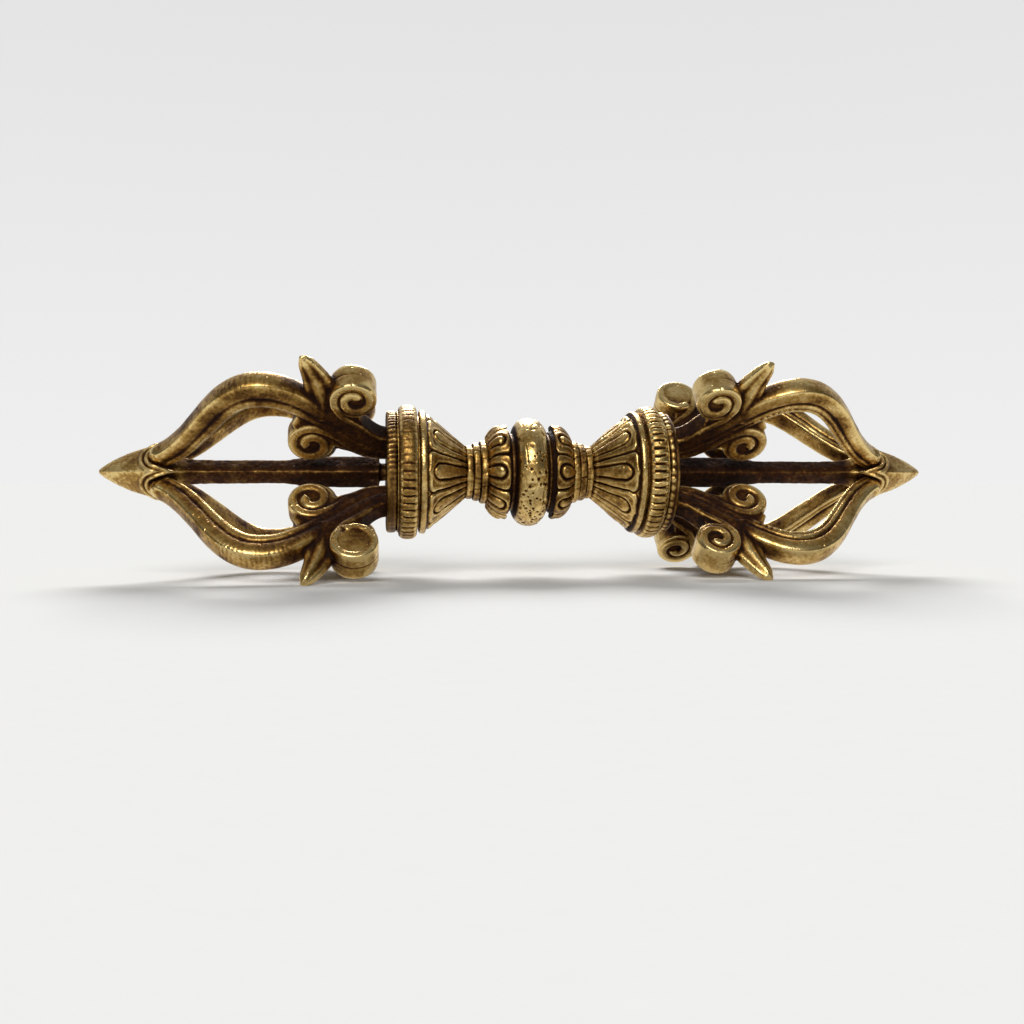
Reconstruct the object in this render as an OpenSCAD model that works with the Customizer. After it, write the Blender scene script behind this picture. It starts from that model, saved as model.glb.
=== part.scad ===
// Five pronged vajra in cast and chased brass, lying on its side. Sizes in mm.
// The long axis runs along X, Z is up from the surface, and Y points away from the viewer.
// Each end is a lotus bell, a reeded rim and a seat for four scroll prongs round a centre prong.

/* [Overall] */
// Length from tip to tip
overall_len = 128; // [124:1:138]
// Height of the long axis above the surface
axis_h = 15.8; // [15.2:0.1:17]

/* [Hub] */
// Largest radius of the round hub
hub_r = 8.35; // [7.6:0.05:9.4]
// Width of the hub's round band
hub_w = 5; // [4.4:0.1:6]
// Radius of the waist on each side of the hub
hub_waist_r = 5.9; // [5.2:0.1:6.6]
// Length of each waist
hub_waist_len = 0.5; // [0.3:0.1:1.2]

/* [Lotus collar] */
// Length of the lotus collar
lotus_len = 3.45; // [2.8:0.05:4.2]
// Radius at the petal tips beside the hub
lotus_r = 7.2; // [6.6:0.1:8]
// Radius where the collar meets the neck
lotus_foot_r = 5.3; // [4.9:0.1:5.8]
// Rounding of the petal tips
lotus_lip = 0.7; // [0.4:0.05:1]
// Bulge of the petals over a straight slope
lotus_bulge = 0.45; // [0.2:0.05:0.7]
// Petals round each collar
lotus_petals = 8; // [6:1:12]
// Width of a petal's inner egg as a share of the petal
lotus_egg_share = 0.55; // [0.45:0.05:0.65]

/* [Neck ring] */
// Length of the ringed neck
neck_len = 3.25; // [2.6:0.05:4]
// Radius of the ring beside the lotus collar
neck_big_r = 4.8; // [4.5:0.05:5.2]
// Radius of the ring beside the bell
neck_small_r = 4.1; // [3.9:0.05:4.4]
// Depth of the grooves between the rings
neck_groove = 0.4; // [0.2:0.05:0.6]

/* [Lotus bell] */
// Length of the bell's flared body
bell_len = 6.15; // [5.4:0.05:7.8]
// Radius at the narrow end
bell_neck_r = 3.8; // [3.5:0.05:4.1]
// Radius at the wide end
bell_mouth_r = 9; // [8.4:0.05:9.6]
// Width of the plain fillet round the mouth
bell_fillet_w = 1.05; // [0.8:0.05:1.4]
// Height of the fillet above the mouth
bell_fillet_rise = 0.42; // [0.2:0.02:0.6]
// Length of the sunk land behind the fillet
bell_land_len = 0.3; // [0.2:0.05:0.8]
// Petals round each bell
bell_petals = 8; // [6:1:12]
// Width of a petal's inner tongue as a share of the petal
bell_tongue_share = 0.45; // [0.35:0.05:0.6]

/* [Carving] */
// Width of a carved groove
groove_w = 0.42; // [0.3:0.02:0.6]
// Depth of a carved groove
groove_d = 0.34; // [0.2:0.02:0.5]

/* [Reeded rim] */
// Radius over the reeds
rim_r = 10.24; // [9.6:0.02:11]
// Width of the rim
rim_w = 2.75; // [2.2:0.05:3.3]
// Rise of the rim's round crown over its edges
rim_crown = 0.8; // [0.5:0.05:1.1]
// Reeds round the rim
rim_reeds = 52; // [40:1:64]
// Depth of the cuts between the reeds
rim_cut = 0.36; // [0.2:0.02:0.5]

/* [Prong seat] */
// Radius of the seat
seat_r = 9.25; // [8.8:0.05:9.8]
// Thickness of the seat
seat_w = 1.6; // [1.5:0.05:2.2]
// Edge rounding of the seat
seat_round = 0.45; // [0.2:0.05:0.7]
// Length of the sunk step between the seat and the rim
seat_step_len = 0.25; // [0.15:0.05:0.5]
// Radius of that step
seat_step_r = 8.4; // [8:0.05:8.7]

/* [Centre prong] */
// Radius of the tang that runs into the hub
tang_r = 2; // [1.7:0.05:2.3]
// Radius of the slim neck outside the seat
stub_r = 1.35; // [1.1:0.05:1.6]
// Length of the slim neck
stub_len = 1.25; // [0.8:0.05:1.8]
// Half diagonal of the stout foot of the bar
foot_half = 2.3; // [2.05:0.05:2.6]
// Length of the stout foot
foot_len = 9.5; // [7:0.5:12]
// Half diagonal of the bar
bar_half = 1.8; // [1.6:0.05:2]
// Length of the four sided point
point_len = 8.8; // [7.6:0.1:10]
// Half diagonal at the widest place of the point
point_half = 4.1; // [3.8:0.05:4.4]
// Half diagonal half way along the point
point_mid_half = 2.75; // [2.3:0.05:3.1]
// Length over which the bar flares to the point
flare_len = 3.9; // [3.2:0.1:4.6]
// Half diagonal of the blunt tip
tip_half = 0.22; // [0.1:0.02:0.4]
// Thickness of the lips that hold the prong ends
lip_t = 0.38; // [0.25:0.01:0.5]

/* [Scroll prong] */
// Distance from the axis to the stem's root
root_r = 6.2; // [5.9:0.05:6.5]
// Distance from the seat to the joint of stem, leaf and scrolls
joint_run = 9.2; // [8.4:0.1:10]
// Distance from the axis to that joint
joint_r = 12.2; // [11.6:0.1:12.8]
// Distance from the seat to the top of the arch
arch_run = 17.7; // [16.5:0.1:19]
// Distance from the axis to the top of the arch, at the arm's middle
arch_r = 16.2; // [15.4:0.1:16.8]
// Distance from the axis to the arm's end in the point
end_r = 3.3; // [3.1:0.05:3.5]
// Distance from the arm's end to the widest place of the point
end_back = 0.6; // [0.3:0.05:1]
// Thickness of the stem, seen from the side
stem_t = 3.7; // [3.3:0.05:4.1]
// Thickness of the arm at the top of the arch
arch_t = 4.4; // [3.9:0.05:4.8]
// Thickness of the arm at its end
end_t = 2.3; // [2:0.05:2.5]
// Width of the stem and the arch across the prong
arm_w = 3.6; // [3.1:0.05:4]
// Width of the arm at its end
end_w = 2.3; // [2:0.05:2.5]

/* [Scrolls] */
// Radius of the outer scroll
scroll_r = 3.6; // [3.2:0.05:3.8]
// Width of the outer scroll across the prong
scroll_w = 4.8; // [4.2:0.1:5.4]
// Distance from the seat to the outer scroll's middle
scroll_run = 4.6; // [4.2:0.1:5.2]
// Distance from the axis to the outer scroll's middle
scroll_off = 15.9; // [15.5:0.1:16.2]
// Radius of the inner scroll
curl_r = 3.8; // [3.4:0.05:4]
// Width of the inner scroll across the prong
curl_w = 3.4; // [3:0.1:3.8]
// Distance from the seat to the inner scroll's middle
curl_run = 10.9; // [10:0.1:11.8]
// Distance from the axis to the inner scroll's middle
curl_off = 7; // [6.7:0.05:7.6]
// Width of the spiral groove on a scroll
spiral_w = 0.5; // [0.35:0.05:0.65]
// Depth of the spiral groove
spiral_d = 0.5; // [0.3:0.05:0.7]

/* [Leaf] */
// Distance from the seat to the leaf's tip
leaf_run = 11.6; // [10.8:0.1:12.4]
// Half width of the leaf at its root
leaf_root_half = 3.7; // [3.3:0.05:4.1]
// Half width of the leaf at its tip
leaf_tip_half = 0.85; // [0.6:0.05:1.1]
// Half thickness of the leaf at its root
leaf_root_t = 1.7; // [1.4:0.05:2]
// Half thickness of the leaf at its tip
leaf_tip_t = 0.8; // [0.65:0.05:0.95]
// Wear of the tip, as the depth from a sharp corner to the worn flats
leaf_wear = 0.12; // [0.06:0.02:0.3]

/* [Fits] */
// Clearance of a tang in its bore
tang_fit = 0.05; // [0.02:0.01:0.1]
// Clearance of a tenon in its mortise, and of a prong's end in its lips
tenon_fit = 0.05; // [0.03:0.01:0.1]
// Length of a prong's tenon
tenon_len = 1.1; // [0.8:0.05:1.3]
// Tenon size towards the axis
tenon_h = 2.2; // [1.8:0.05:2.5]
// Tenon size across the prong
tenon_w = 1.8; // [1.5:0.05:2.1]
// Gap between the two tangs inside the hub
tang_gap = 0.4; // [0.2:0.05:0.8]

/* [Hidden] */
// Facets of turned pieces and of drums
$fn = 72;
// Stations along the axis from the middle of the hub
hub_end = hub_w / 2 + hub_waist_len;
lotus_end = hub_end + lotus_len;
neck_end = lotus_end + neck_len;
bell_mouth = neck_end + bell_len;
bell_back = bell_mouth + bell_fillet_w;
bell_end = bell_back + bell_land_len;
rim_end = bell_end + rim_w;
step_end = rim_end + seat_step_len;
seat_face = step_end + seat_w;
foot_start = seat_face + stub_len;
foot_end = foot_start + foot_len;
tip_x = overall_len / 2;
point_base = tip_x - point_len;
point_mid = tip_x - point_len / 2;
flare_base = point_base - flare_len;
arm_end = point_base - end_back;
joint_x = seat_face + joint_run;
arch_x = seat_face + arch_run;
// Radii that follow from fits
bore_r = tang_r + tang_fit;
// Reach of the leaf towards the corner of the square that the vajra lies in
corner = axis_h * sqrt(2);
leaf_reach = corner - leaf_wear;
// Steps of curves
arc_steps = 14;
crown_steps = 8;
bulge_steps = 5;
stem_steps = 7;
rise_steps = 6;
fall_steps = 13;
end_steps = 3;
// Share of the arm's fall at which the lips start, and the lead of the cut before it
lip_start = 0.86;
lip_lead = 0.06;
leaf_steps = 5;
spiral_steps = 26;
spiral_turns = 1.75;
spiral_start = -140;
// Overlap of solids that are joined in one piece
bite = stem_t * 0.11;
// Reach of cutting solids past what they cut
over = groove_w * 2.5;
// Turn of each prong about the axis
up_front = 45;
low_front = 135;
low_back = 225;
up_back = 315;

gold = "#b08d3f";
brown = "#6b4f2a";
olive = "#8f7434";

function mix(a, b, t) = a + (b - a) * t;

// Places from one point towards another, bulging outwards between them
function bulging(a, b, bulge) = let (out = [a[1] - b[1], b[0] - a[0]] / norm(b - a))
    [for (i = [1 : bulge_steps - 1]) let (t = i / bulge_steps) mix(a, b, t) + out * bulge * 4 * t * (1 - t)];

// Point and unit direction on a cubic curve
function curve_at(p, t) = pow(1 - t, 3) * p[0] + 3 * t * pow(1 - t, 2) * p[1]
    + 3 * t * t * (1 - t) * p[2] + t * t * t * p[3];
function slope_at(p, t) = let (d = pow(1 - t, 2) * (p[1] - p[0]) + 2 * t * (1 - t) * (p[2] - p[1])
    + t * t * (p[3] - p[2])) d / norm(d);

// Solid of revolution about the axis, from points of distance along it and radius
module turned(points) {
    rotate([0, 90, 0])
        rotate_extrude()
            polygon([for (p = points) [p[1], p[0]]]);
}

// Copies round the axis
module ring_of(count, first = 0) {
    for (i = [0 : count - 1])
        rotate([360 / count * i + first, 0, 0])
            children();
}

// Puts the axis at its height, for the right end or mirrored for the left end
module right_end() {
    translate([0, 0, axis_h])
        children();
}

module left_end() {
    translate([0, 0, axis_h])
        mirror([1, 0, 0])
            children();
}

// Puts a drawing on a cone, with its first axis along the cone's line and its floor at the carving depth
module on_cone(from_x, from_r, to_x, to_r, height, lift = 0) {
    tilt = atan2(to_r - from_r, to_x - from_x);
    translate([from_x, 0, from_r])
        rotate([0, -tilt, 0])
            translate([0, 0, lift - groove_d])
                linear_extrude(height = height)
                    children();
}

// Plan of a tongue with a round end, from its narrow start to the middle of its round end
module tongue(start_x, start_half, round_x, round_half) {
    polygon([[start_x, -start_half], [round_x, -round_half], [round_x, round_half], [start_x, start_half]]);
    translate([round_x, 0])
        circle(r = round_half);
}

// Plan of the groove that runs round a tongue
module tongue_groove(start_x, start_half, round_x, round_half) {
    difference() {
        tongue(start_x, start_half, round_x, round_half);
        tongue(start_x - over, start_half - groove_w, round_x, round_half - groove_w);
    }
}

// Round hub with a waist on each side and a bore for both tangs
module hub() {
    half = hub_w / 2;
    rise = hub_r - hub_waist_r;
    band = [for (i = [0 : arc_steps]) let (a = 180 - 180 * i / arc_steps)
        [half * cos(a), hub_waist_r + rise * sin(a)]];
    color(gold)
        right_end()
            turned(concat([[-hub_end, bore_r], [-hub_end, hub_waist_r]], band,
                [[hub_end, hub_waist_r], [hub_end, bore_r]]));
}

// Lotus collar with its petal tips turned to the hub
module lotus_collar() {
    lip_x = hub_end + lotus_lip;
    lip = [lip_x, lotus_r];
    foot = [lotus_end, lotus_foot_r];
    slant = norm(foot - lip);
    egg_half = lotus_r * sin(180 / lotus_petals) * lotus_egg_share;
    lift = lotus_bulge * 0.35;
    difference() {
        turned(concat([[hub_end, bore_r], [hub_end, lotus_r - lotus_lip],
            [hub_end + lotus_lip * 0.3, lotus_r - lotus_lip * 0.3], lip],
            bulging(lip, foot, lotus_bulge), [foot, [lotus_end, bore_r]]));
        ring_of(lotus_petals, 180 / lotus_petals)
            on_cone(lip_x, lotus_r, lotus_end, lotus_foot_r, over, lift)
                translate([-lotus_len, -groove_w / 2])
                    square([lotus_len + slant + over, groove_w]);
        ring_of(lotus_petals)
            on_cone(lip_x, lotus_r, lotus_end, lotus_foot_r, over, lift)
                mirror([1, 0])
                    tongue_groove(-slant - over, egg_half * 0.8, -egg_half, egg_half);
    }
}

// Neck of three stepped rings
module neck_ring() {
    rings = 3;
    pitch = neck_len / rings;
    groove = pitch * 0.22;
    outline = [for (i = [0 : rings - 1]) let (r = mix(neck_big_r, neck_small_r, i / (rings - 1)),
        x = lotus_end + pitch * i) each [[x, r - neck_groove], [x + groove / 2, r - neck_groove],
        [x + groove, r], [x + pitch - groove, r], [x + pitch - groove / 2, r - neck_groove],
        [x + pitch, r - neck_groove]]];
    turned(concat([[lotus_end, bore_r]], outline, [[neck_end, bore_r]]));
}

// Flared bell with long petals, a fillet and a sunk land behind it
module lotus_bell() {
    fillet_r = bell_mouth_r + bell_fillet_rise;
    land_r = bell_mouth_r - bell_fillet_rise;
    edge = bell_fillet_w * 0.2;
    slant = norm([bell_len, bell_mouth_r - bell_neck_r]);
    tongue_half = bell_mouth_r * sin(180 / bell_petals) * bell_tongue_share;
    difference() {
        turned([[neck_end, bore_r], [neck_end, bell_neck_r], [bell_mouth, bell_mouth_r],
            [bell_mouth, fillet_r - edge], [bell_mouth + edge, fillet_r], [bell_back - edge, fillet_r],
            [bell_back, fillet_r - edge], [bell_back, land_r], [bell_end, land_r], [bell_end, bore_r]]);
        ring_of(bell_petals, 180 / bell_petals)
            on_cone(neck_end, bell_neck_r, bell_mouth, bell_mouth_r, over)
                translate([-over, -groove_w / 2])
                    square([slant + over - groove_w, groove_w]);
        ring_of(bell_petals)
            on_cone(neck_end, bell_neck_r, bell_mouth, bell_mouth_r, over)
                tongue_groove(slant * 0.12, tongue_half * 0.5, slant - tongue_half - 2 * groove_w, tongue_half);
    }
}

// Rim with reeds along the axis all the way round
module reeded_rim() {
    pitch = 360 / rim_reeds;
    reed = [for (i = [0 : rim_reeds - 1]) each [
        [rim_r - rim_cut, pitch * i], [rim_r, pitch * (i + 0.28)], [rim_r, pitch * (i + 0.72)]]];
    half = rim_w / 2;
    low = rim_r - rim_crown;
    crown = [for (i = [0 : crown_steps]) let (a = 180 - 180 * i / crown_steps)
        [bell_end + half + half * cos(a), low + rim_crown * sin(a)]];
    intersection() {
        translate([bell_end, 0, 0])
            rotate([0, 90, 0])
                linear_extrude(height = rim_w)
                    polygon([for (p = reed) [p[0] * cos(p[1]), p[0] * sin(p[1])]]);
        turned(concat([[bell_end, bore_r]], crown, [[rim_end, bore_r]]));
    }
}

// Seat with a mortise for each scroll prong
module prong_seat() {
    depth = tenon_len + tenon_fit;
    round_edge = [for (i = [0 : 4]) let (a = 180 - 90 * i / 4)
        [step_end + seat_round + seat_round * cos(a), seat_r - seat_round + seat_round * sin(a)]];
    round_face = [for (i = [0 : 4]) let (a = 90 - 90 * i / 4)
        [seat_face - seat_round + seat_round * cos(a), seat_r - seat_round + seat_round * sin(a)]];
    difference() {
        turned(concat([[rim_end, bore_r], [rim_end, seat_step_r], [step_end, seat_step_r]],
            round_edge, round_face, [[seat_face, bore_r]]));
        ring_of(4, up_front)
            translate([seat_face - depth, -tenon_w / 2 - tenon_fit, root_r - tenon_h / 2 - tenon_fit])
                cube([depth + over, tenon_w + 2 * tenon_fit, tenon_h + 2 * tenon_fit]);
    }
}

// Straight bar of four sides from one place on the axis to another
module square_bar(from_x, to_x, from_half, to_half) {
    translate([from_x, 0, 0])
        rotate([0, 90, 0])
            cylinder(h = to_x - from_x, r1 = from_half, r2 = to_half, $fn = 4);
}

module round_bar(from_x, to_x, radius) {
    translate([from_x, 0, 0])
        rotate([0, 90, 0])
            cylinder(h = to_x - from_x, r = radius);
}

// Centre prong: tang, slim neck, stout foot, bar and four sided point with lips for the prong ends
module centre_prong() {
    taper_end = foot_end + foot_len / 2;
    difference() {
        union() {
            round_bar(tang_gap / 2, seat_face, tang_r);
            round_bar(seat_face - bite, foot_start + bite, stub_r);
            square_bar(foot_start, foot_end, foot_half, foot_half);
            square_bar(foot_end, taper_end, foot_half, bar_half);
            square_bar(taper_end, flare_base, bar_half, bar_half);
            square_bar(flare_base, point_base, bar_half, point_half);
            square_bar(point_base, point_mid, point_half, point_mid_half);
            square_bar(point_mid, tip_x, point_mid_half, tip_half);
            ring_of(4, up_front)
                arm_tail(lip_t, lip_t, lip_start);
        }
        ring_of(4, up_front)
            arm_tail(tenon_fit, tenon_fit, lip_start - lip_lead);
    }
}

// Middle line of a scroll prong: stem, rise to the arch, and fall to the point
function stem_curve() = [[seat_face, root_r], [seat_face + joint_run * 0.28, root_r],
    [joint_x - joint_run * 0.32, joint_r - joint_run * 0.25], [joint_x, joint_r]];
function rise_curve() = let (run = arch_run - joint_run) [[joint_x, joint_r],
    [joint_x + run * 0.34, joint_r + run * 0.265], [arch_x - run * 0.36, arch_r], [arch_x, arch_r]];
function fall_curve() = let (run = arm_end - arch_x, drop = arch_r - end_r) [[arch_x, arch_r],
    [arch_x + run * 0.44, arch_r], [arm_end - run * 0.42, end_r + drop * 0.25], [arm_end, end_r]];

// Section of the arm: a broad outer ridge, a groove on each side and a slim inner ridge
function arm_section(thick, wide, grow = 0) = let (a = thick / 2 + grow, b = wide / 2 + grow,
    half = [[1, 0], [0.96, 0.5], [0.84, 0.86], [0.42, 1], [0.06, 0.92], [-0.12, 0.74], [-0.26, 0.74],
        [-0.42, 0.92], [-0.82, 0.86], [-1, 0.42]])
    concat([for (p = half) [p[0] * a, p[1] * b]],
        [for (i = [len(half) - 1 : -1 : 1]) [half[i][0] * a, -half[i][1] * b]]);

// Solid swept along a plane path: middles, directions and one section for each
module swept(middles, ways, sections) {
    n = len(middles);
    m = len(sections[0]);
    rings = [for (i = [0 : n - 1]) for (q = sections[i])
        [middles[i][0] - ways[i][1] * q[0], q[1], middles[i][1] + ways[i][0] * q[0]]];
    points = concat(rings, [for (p = [middles[0], middles[n - 1]]) [p[0], 0, p[1]]]);
    sides = [for (i = [0 : n - 2]) for (j = [0 : m - 1]) let (a = i * m + j, b = i * m + (j + 1) % m)
        each [[a, b, b + m], [a, b + m, a + m]]];
    start_cap = [for (j = [0 : m - 1]) [n * m, (j + 1) % m, j]];
    end_cap = [for (j = [0 : m - 1]) [n * m + 1, (n - 1) * m + j, (n - 1) * m + (j + 1) % m]];
    polyhedron(points, concat(start_cap, sides, end_cap));
}

module arm() {
    stem = stem_curve();
    rise = rise_curve();
    fall = fall_curve();
    middles = concat([for (i = [0 : stem_steps - 1]) curve_at(stem, i / stem_steps)],
        [for (i = [0 : rise_steps - 1]) curve_at(rise, i / rise_steps)],
        [for (i = [0 : fall_steps]) curve_at(fall, i / fall_steps)]);
    ways = concat([for (i = [0 : stem_steps - 1]) slope_at(stem, i / stem_steps)],
        [for (i = [0 : rise_steps - 1]) slope_at(rise, i / rise_steps)],
        [for (i = [0 : fall_steps]) slope_at(fall, i / fall_steps)]);
    sections = concat([for (i = [0 : stem_steps - 1]) arm_section(stem_t, arm_w)],
        [for (i = [0 : rise_steps - 1]) arm_section(mix(stem_t, arch_t, i / rise_steps), arm_w)],
        [for (i = [0 : fall_steps]) let (t = i / fall_steps)
            arm_section(mix(arch_t, end_t, t), mix(arm_w, end_w, t))]);
    swept(middles, ways, sections);
}

// Plain outline round the arm's section, grown all round
function tail_section(thick, wide, grow) = let (a = thick / 2 + grow, b = wide / 2 + grow,
    half = [[1, 0], [0.96, 0.5], [0.84, 0.86], [0.42, 1], [-0.42, 0.96], [-0.82, 0.88], [-1, 0.46]])
    concat([for (p = half) [p[0] * a, p[1] * b]],
        [for (i = [len(half) - 1 : -1 : 1]) [half[i][0] * a, -half[i][1] * b]]);

// Last stretch of the arm, grown all round, for the lips of the point
module arm_tail(grow, past, tail) {
    fall = fall_curve();
    steps = [for (i = [0 : end_steps]) mix(tail, 1, i / end_steps)];
    end_way = slope_at(fall, 1);
    middles = concat([for (t = steps) curve_at(fall, t)], [curve_at(fall, 1) + end_way * past]);
    ways = concat([for (t = steps) slope_at(fall, t)], [end_way]);
    sections = [for (i = [0 : len(middles) - 1]) let (t = i > end_steps ? 1 : steps[i])
        tail_section(mix(arch_t, end_t, t), mix(arm_w, end_w, t), grow)];
    swept(middles, ways, sections);
}

// Leaf with a midrib on both faces, worn flat at its tip where the vajra lies on it
module leaf() {
    path = [[joint_x, joint_r - bite], [joint_x - leaf_tip_half, mix(joint_r, leaf_reach, 0.4)],
        [mix(joint_x, seat_face + leaf_run, 0.6), mix(joint_r, leaf_reach, 0.75)],
        [seat_face + leaf_run, leaf_reach]];
    half = [[1, 0], [0.4, 0.55], [0, 1], [-0.4, 0.55], [-1, 0], [-0.4, -0.55], [0, -1], [0.4, -0.55]];
    steps = [for (i = [0 : leaf_steps]) i / leaf_steps];
    intersection() {
        swept([for (t = steps) curve_at(path, t)], [for (t = steps) slope_at(path, t)],
            [for (t = steps) let (w = mix(leaf_root_half, leaf_tip_half, t), h = mix(leaf_root_t, leaf_tip_t, t))
                [for (q = half) [q[0] * w, q[1] * h]]]);
        rotate([up_front, 0, 0])
            translate([0, -axis_h, -axis_h])
                cube([overall_len, 2 * axis_h, 2 * axis_h]);
    }
}

// Plan of a spiral groove
module spiral_plan(outer_r, turn_way) {
    inner_r = spiral_w;
    last_r = outer_r - spiral_w;
    steps = [for (i = [0 : spiral_steps]) i / spiral_steps];
    outer_side = [for (t = steps) let (a = 360 * spiral_turns * t * turn_way, r = mix(inner_r, last_r, t))
        (r + spiral_w / 2) * [cos(a), sin(a)]];
    inner_side = [for (i = [spiral_steps : -1 : 0]) let (t = steps[i], a = 360 * spiral_turns * t * turn_way,
        r = mix(inner_r, last_r, t)) (r - spiral_w / 2) * [cos(a), sin(a)]];
    polygon(concat(outer_side, inner_side));
}

// Drum of a scroll with a spiral groove on both faces
module scroll_drum(radius, width, start, turn_way) {
    rotate([90, 0, 0])
        difference() {
            cylinder(h = width, r = radius, center = true);
            for (side = [0, 1])
                mirror([0, 0, side])
                    translate([0, 0, width / 2 - spiral_d])
                        linear_extrude(height = spiral_d + over)
                            rotate(start)
                                spiral_plan(radius, turn_way);
        }
}

// One scroll prong, standing up from the axis on the right end
module scroll_prong() {
    web_w = arm_w - bite;
    scroll_x = seat_face + scroll_run;
    curl_x = seat_face + curl_run;
    arm();
    leaf();
    translate([scroll_x, 0, scroll_off])
        scroll_drum(scroll_r, scroll_w, spiral_start, -1);
    translate([curl_x, 0, curl_off])
        scroll_drum(curl_r, curl_w, spiral_start, 1);
    rotate([90, 0, 0])
        linear_extrude(height = web_w, center = true) {
            polygon([[scroll_x, scroll_off - scroll_r + bite], [scroll_x + scroll_r - bite, scroll_off + bite],
                [joint_x + bite, joint_r + bite], [joint_x - joint_run * 0.4, joint_r - joint_run * 0.32]]);
            polygon([[curl_x - curl_r + bite, curl_off], [curl_x + curl_r - bite, curl_off],
                [joint_x + stem_t * 0.8, joint_r], [joint_x - joint_run * 0.35, joint_r - joint_run * 0.3]]);
        }
    rotate([90, 0, 0])
        linear_extrude(height = leaf_root_t * 1.1, center = true)
            polygon([[scroll_x + scroll_r * 0.3, scroll_off], [scroll_x + scroll_r * 0.62, scroll_off + scroll_r * 0.6],
                [joint_x - leaf_tip_half, mix(joint_r, leaf_reach, 0.5)], [joint_x, joint_r]]);
    translate([seat_face - tenon_len, -tenon_w / 2, root_r - tenon_h / 2])
        cube([tenon_len + bite, tenon_w, tenon_h]);
}

module left_prong(turn_deg) {
    color(gold)
        left_end()
            rotate([turn_deg, 0, 0])
                scroll_prong();
}

module right_prong(turn_deg) {
    color(gold)
        right_end()
            rotate([turn_deg, 0, 0])
                scroll_prong();
}

module left_lotus_collar() {
    color(olive)
        left_end()
            lotus_collar();
}

module right_lotus_collar() {
    color(olive)
        right_end()
            lotus_collar();
}

module left_neck_ring() {
    color(gold)
        left_end()
            neck_ring();
}

module right_neck_ring() {
    color(gold)
        right_end()
            neck_ring();
}

module left_lotus_bell() {
    color(olive)
        left_end()
            lotus_bell();
}

module right_lotus_bell() {
    color(olive)
        right_end()
            lotus_bell();
}

module left_reeded_rim() {
    color(gold)
        left_end()
            reeded_rim();
}

module right_reeded_rim() {
    color(gold)
        right_end()
            reeded_rim();
}

module left_prong_seat() {
    color(brown)
        left_end()
            prong_seat();
}

module right_prong_seat() {
    color(brown)
        right_end()
            prong_seat();
}

module left_centre_prong() {
    color(brown)
        left_end()
            centre_prong();
}

module right_centre_prong() {
    color(brown)
        right_end()
            centre_prong();
}

hub();
left_lotus_collar();
right_lotus_collar();
left_neck_ring();
right_neck_ring();
left_lotus_bell();
right_lotus_bell();
left_reeded_rim();
right_reeded_rim();
left_prong_seat();
right_prong_seat();
left_centre_prong();
right_centre_prong();
left_prong(up_front);  // left_prong_upper_front
left_prong(low_front);  // left_prong_lower_front
left_prong(low_back);  // left_prong_lower_back
left_prong(up_back);  // left_prong_upper_back
right_prong(up_front);  // right_prong_upper_front
right_prong(low_front);  // right_prong_lower_front
right_prong(low_back);  // right_prong_lower_back
right_prong(up_back);  // right_prong_upper_back
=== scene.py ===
import math
from types import SimpleNamespace

import bmesh
import bpy
import numpy as np
from mathutils import Matrix, Vector
from mathutils.bvhtree import BVHTree


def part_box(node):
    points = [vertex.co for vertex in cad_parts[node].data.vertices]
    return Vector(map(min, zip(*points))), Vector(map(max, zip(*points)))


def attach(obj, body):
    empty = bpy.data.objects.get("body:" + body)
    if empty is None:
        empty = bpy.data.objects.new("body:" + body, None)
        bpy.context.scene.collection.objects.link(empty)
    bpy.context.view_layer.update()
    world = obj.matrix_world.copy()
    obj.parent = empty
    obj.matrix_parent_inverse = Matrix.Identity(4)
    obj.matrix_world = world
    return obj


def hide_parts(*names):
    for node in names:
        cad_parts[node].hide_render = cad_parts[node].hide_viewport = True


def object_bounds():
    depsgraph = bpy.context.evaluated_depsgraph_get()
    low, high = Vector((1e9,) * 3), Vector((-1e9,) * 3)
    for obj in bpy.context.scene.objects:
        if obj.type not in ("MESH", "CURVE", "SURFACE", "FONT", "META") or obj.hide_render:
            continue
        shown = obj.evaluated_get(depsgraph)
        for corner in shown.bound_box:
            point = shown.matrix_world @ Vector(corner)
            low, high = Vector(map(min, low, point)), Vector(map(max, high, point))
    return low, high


bl_info = {
    "name": "Dorje vajra",
    "version": (1, 0, 0),
    "blender": (4, 5, 0),
    "location": "View3D > Sidebar > Vajra",
    "description": "Dresses the vajra's solids in carved and worn brass",
    "category": "Object",
}

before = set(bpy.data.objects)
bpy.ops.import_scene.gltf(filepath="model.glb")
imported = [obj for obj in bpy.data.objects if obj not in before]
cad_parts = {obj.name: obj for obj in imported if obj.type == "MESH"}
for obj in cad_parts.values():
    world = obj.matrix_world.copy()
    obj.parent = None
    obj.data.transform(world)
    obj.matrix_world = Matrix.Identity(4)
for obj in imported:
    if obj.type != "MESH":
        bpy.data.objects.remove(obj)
CAD_LOW, CAD_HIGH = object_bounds()

# Lengths are worked in millimetres and go into the meshes in metres
MM = 0.001
SIDES = {"right": 1, "left": -1}
# Turn of each scroll prong about the axis, in degrees from upright towards the front
PRONG_TURNS = {"upper_front": 45, "lower_front": 135, "lower_back": 225, "upper_back": 315}
# Scroll prongs whose outer scroll is worn to a plain disc
WORN_PRONGS = ("left_prong_lower_front", "right_prong_upper_back")
# How far the roots of the scroll prongs are sunk in the seat in mm, so that no gap shows
ROOT_DEEP = 0.15
# CAD nodes round the right upper front prong, which keep light and hands off it
PRONG_NEIGHBOURS = ("right_prong_seat", "right_reeded_rim", "right_centre_prong", "right_prong_lower_front",
                    "right_prong_upper_back")
# Attribute that says how worn a point is, with painted shade of sheltered places and joins: 0 in a dirty, shaded
# hollow, 1 on a rubbed edge
WEAR_AND_SHADE = "wear"
# Lights: turn from the front, rise and spread in degrees, and strength
LIGHTS = {"soft_light_back": (176, 39, 26, 3.05), "soft_light_front": (-14, 36, 36, 1.64)}
# Half of the paper sheet's width in metres, so wide that its edge is never seen
PAPER_HALF = 20


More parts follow.
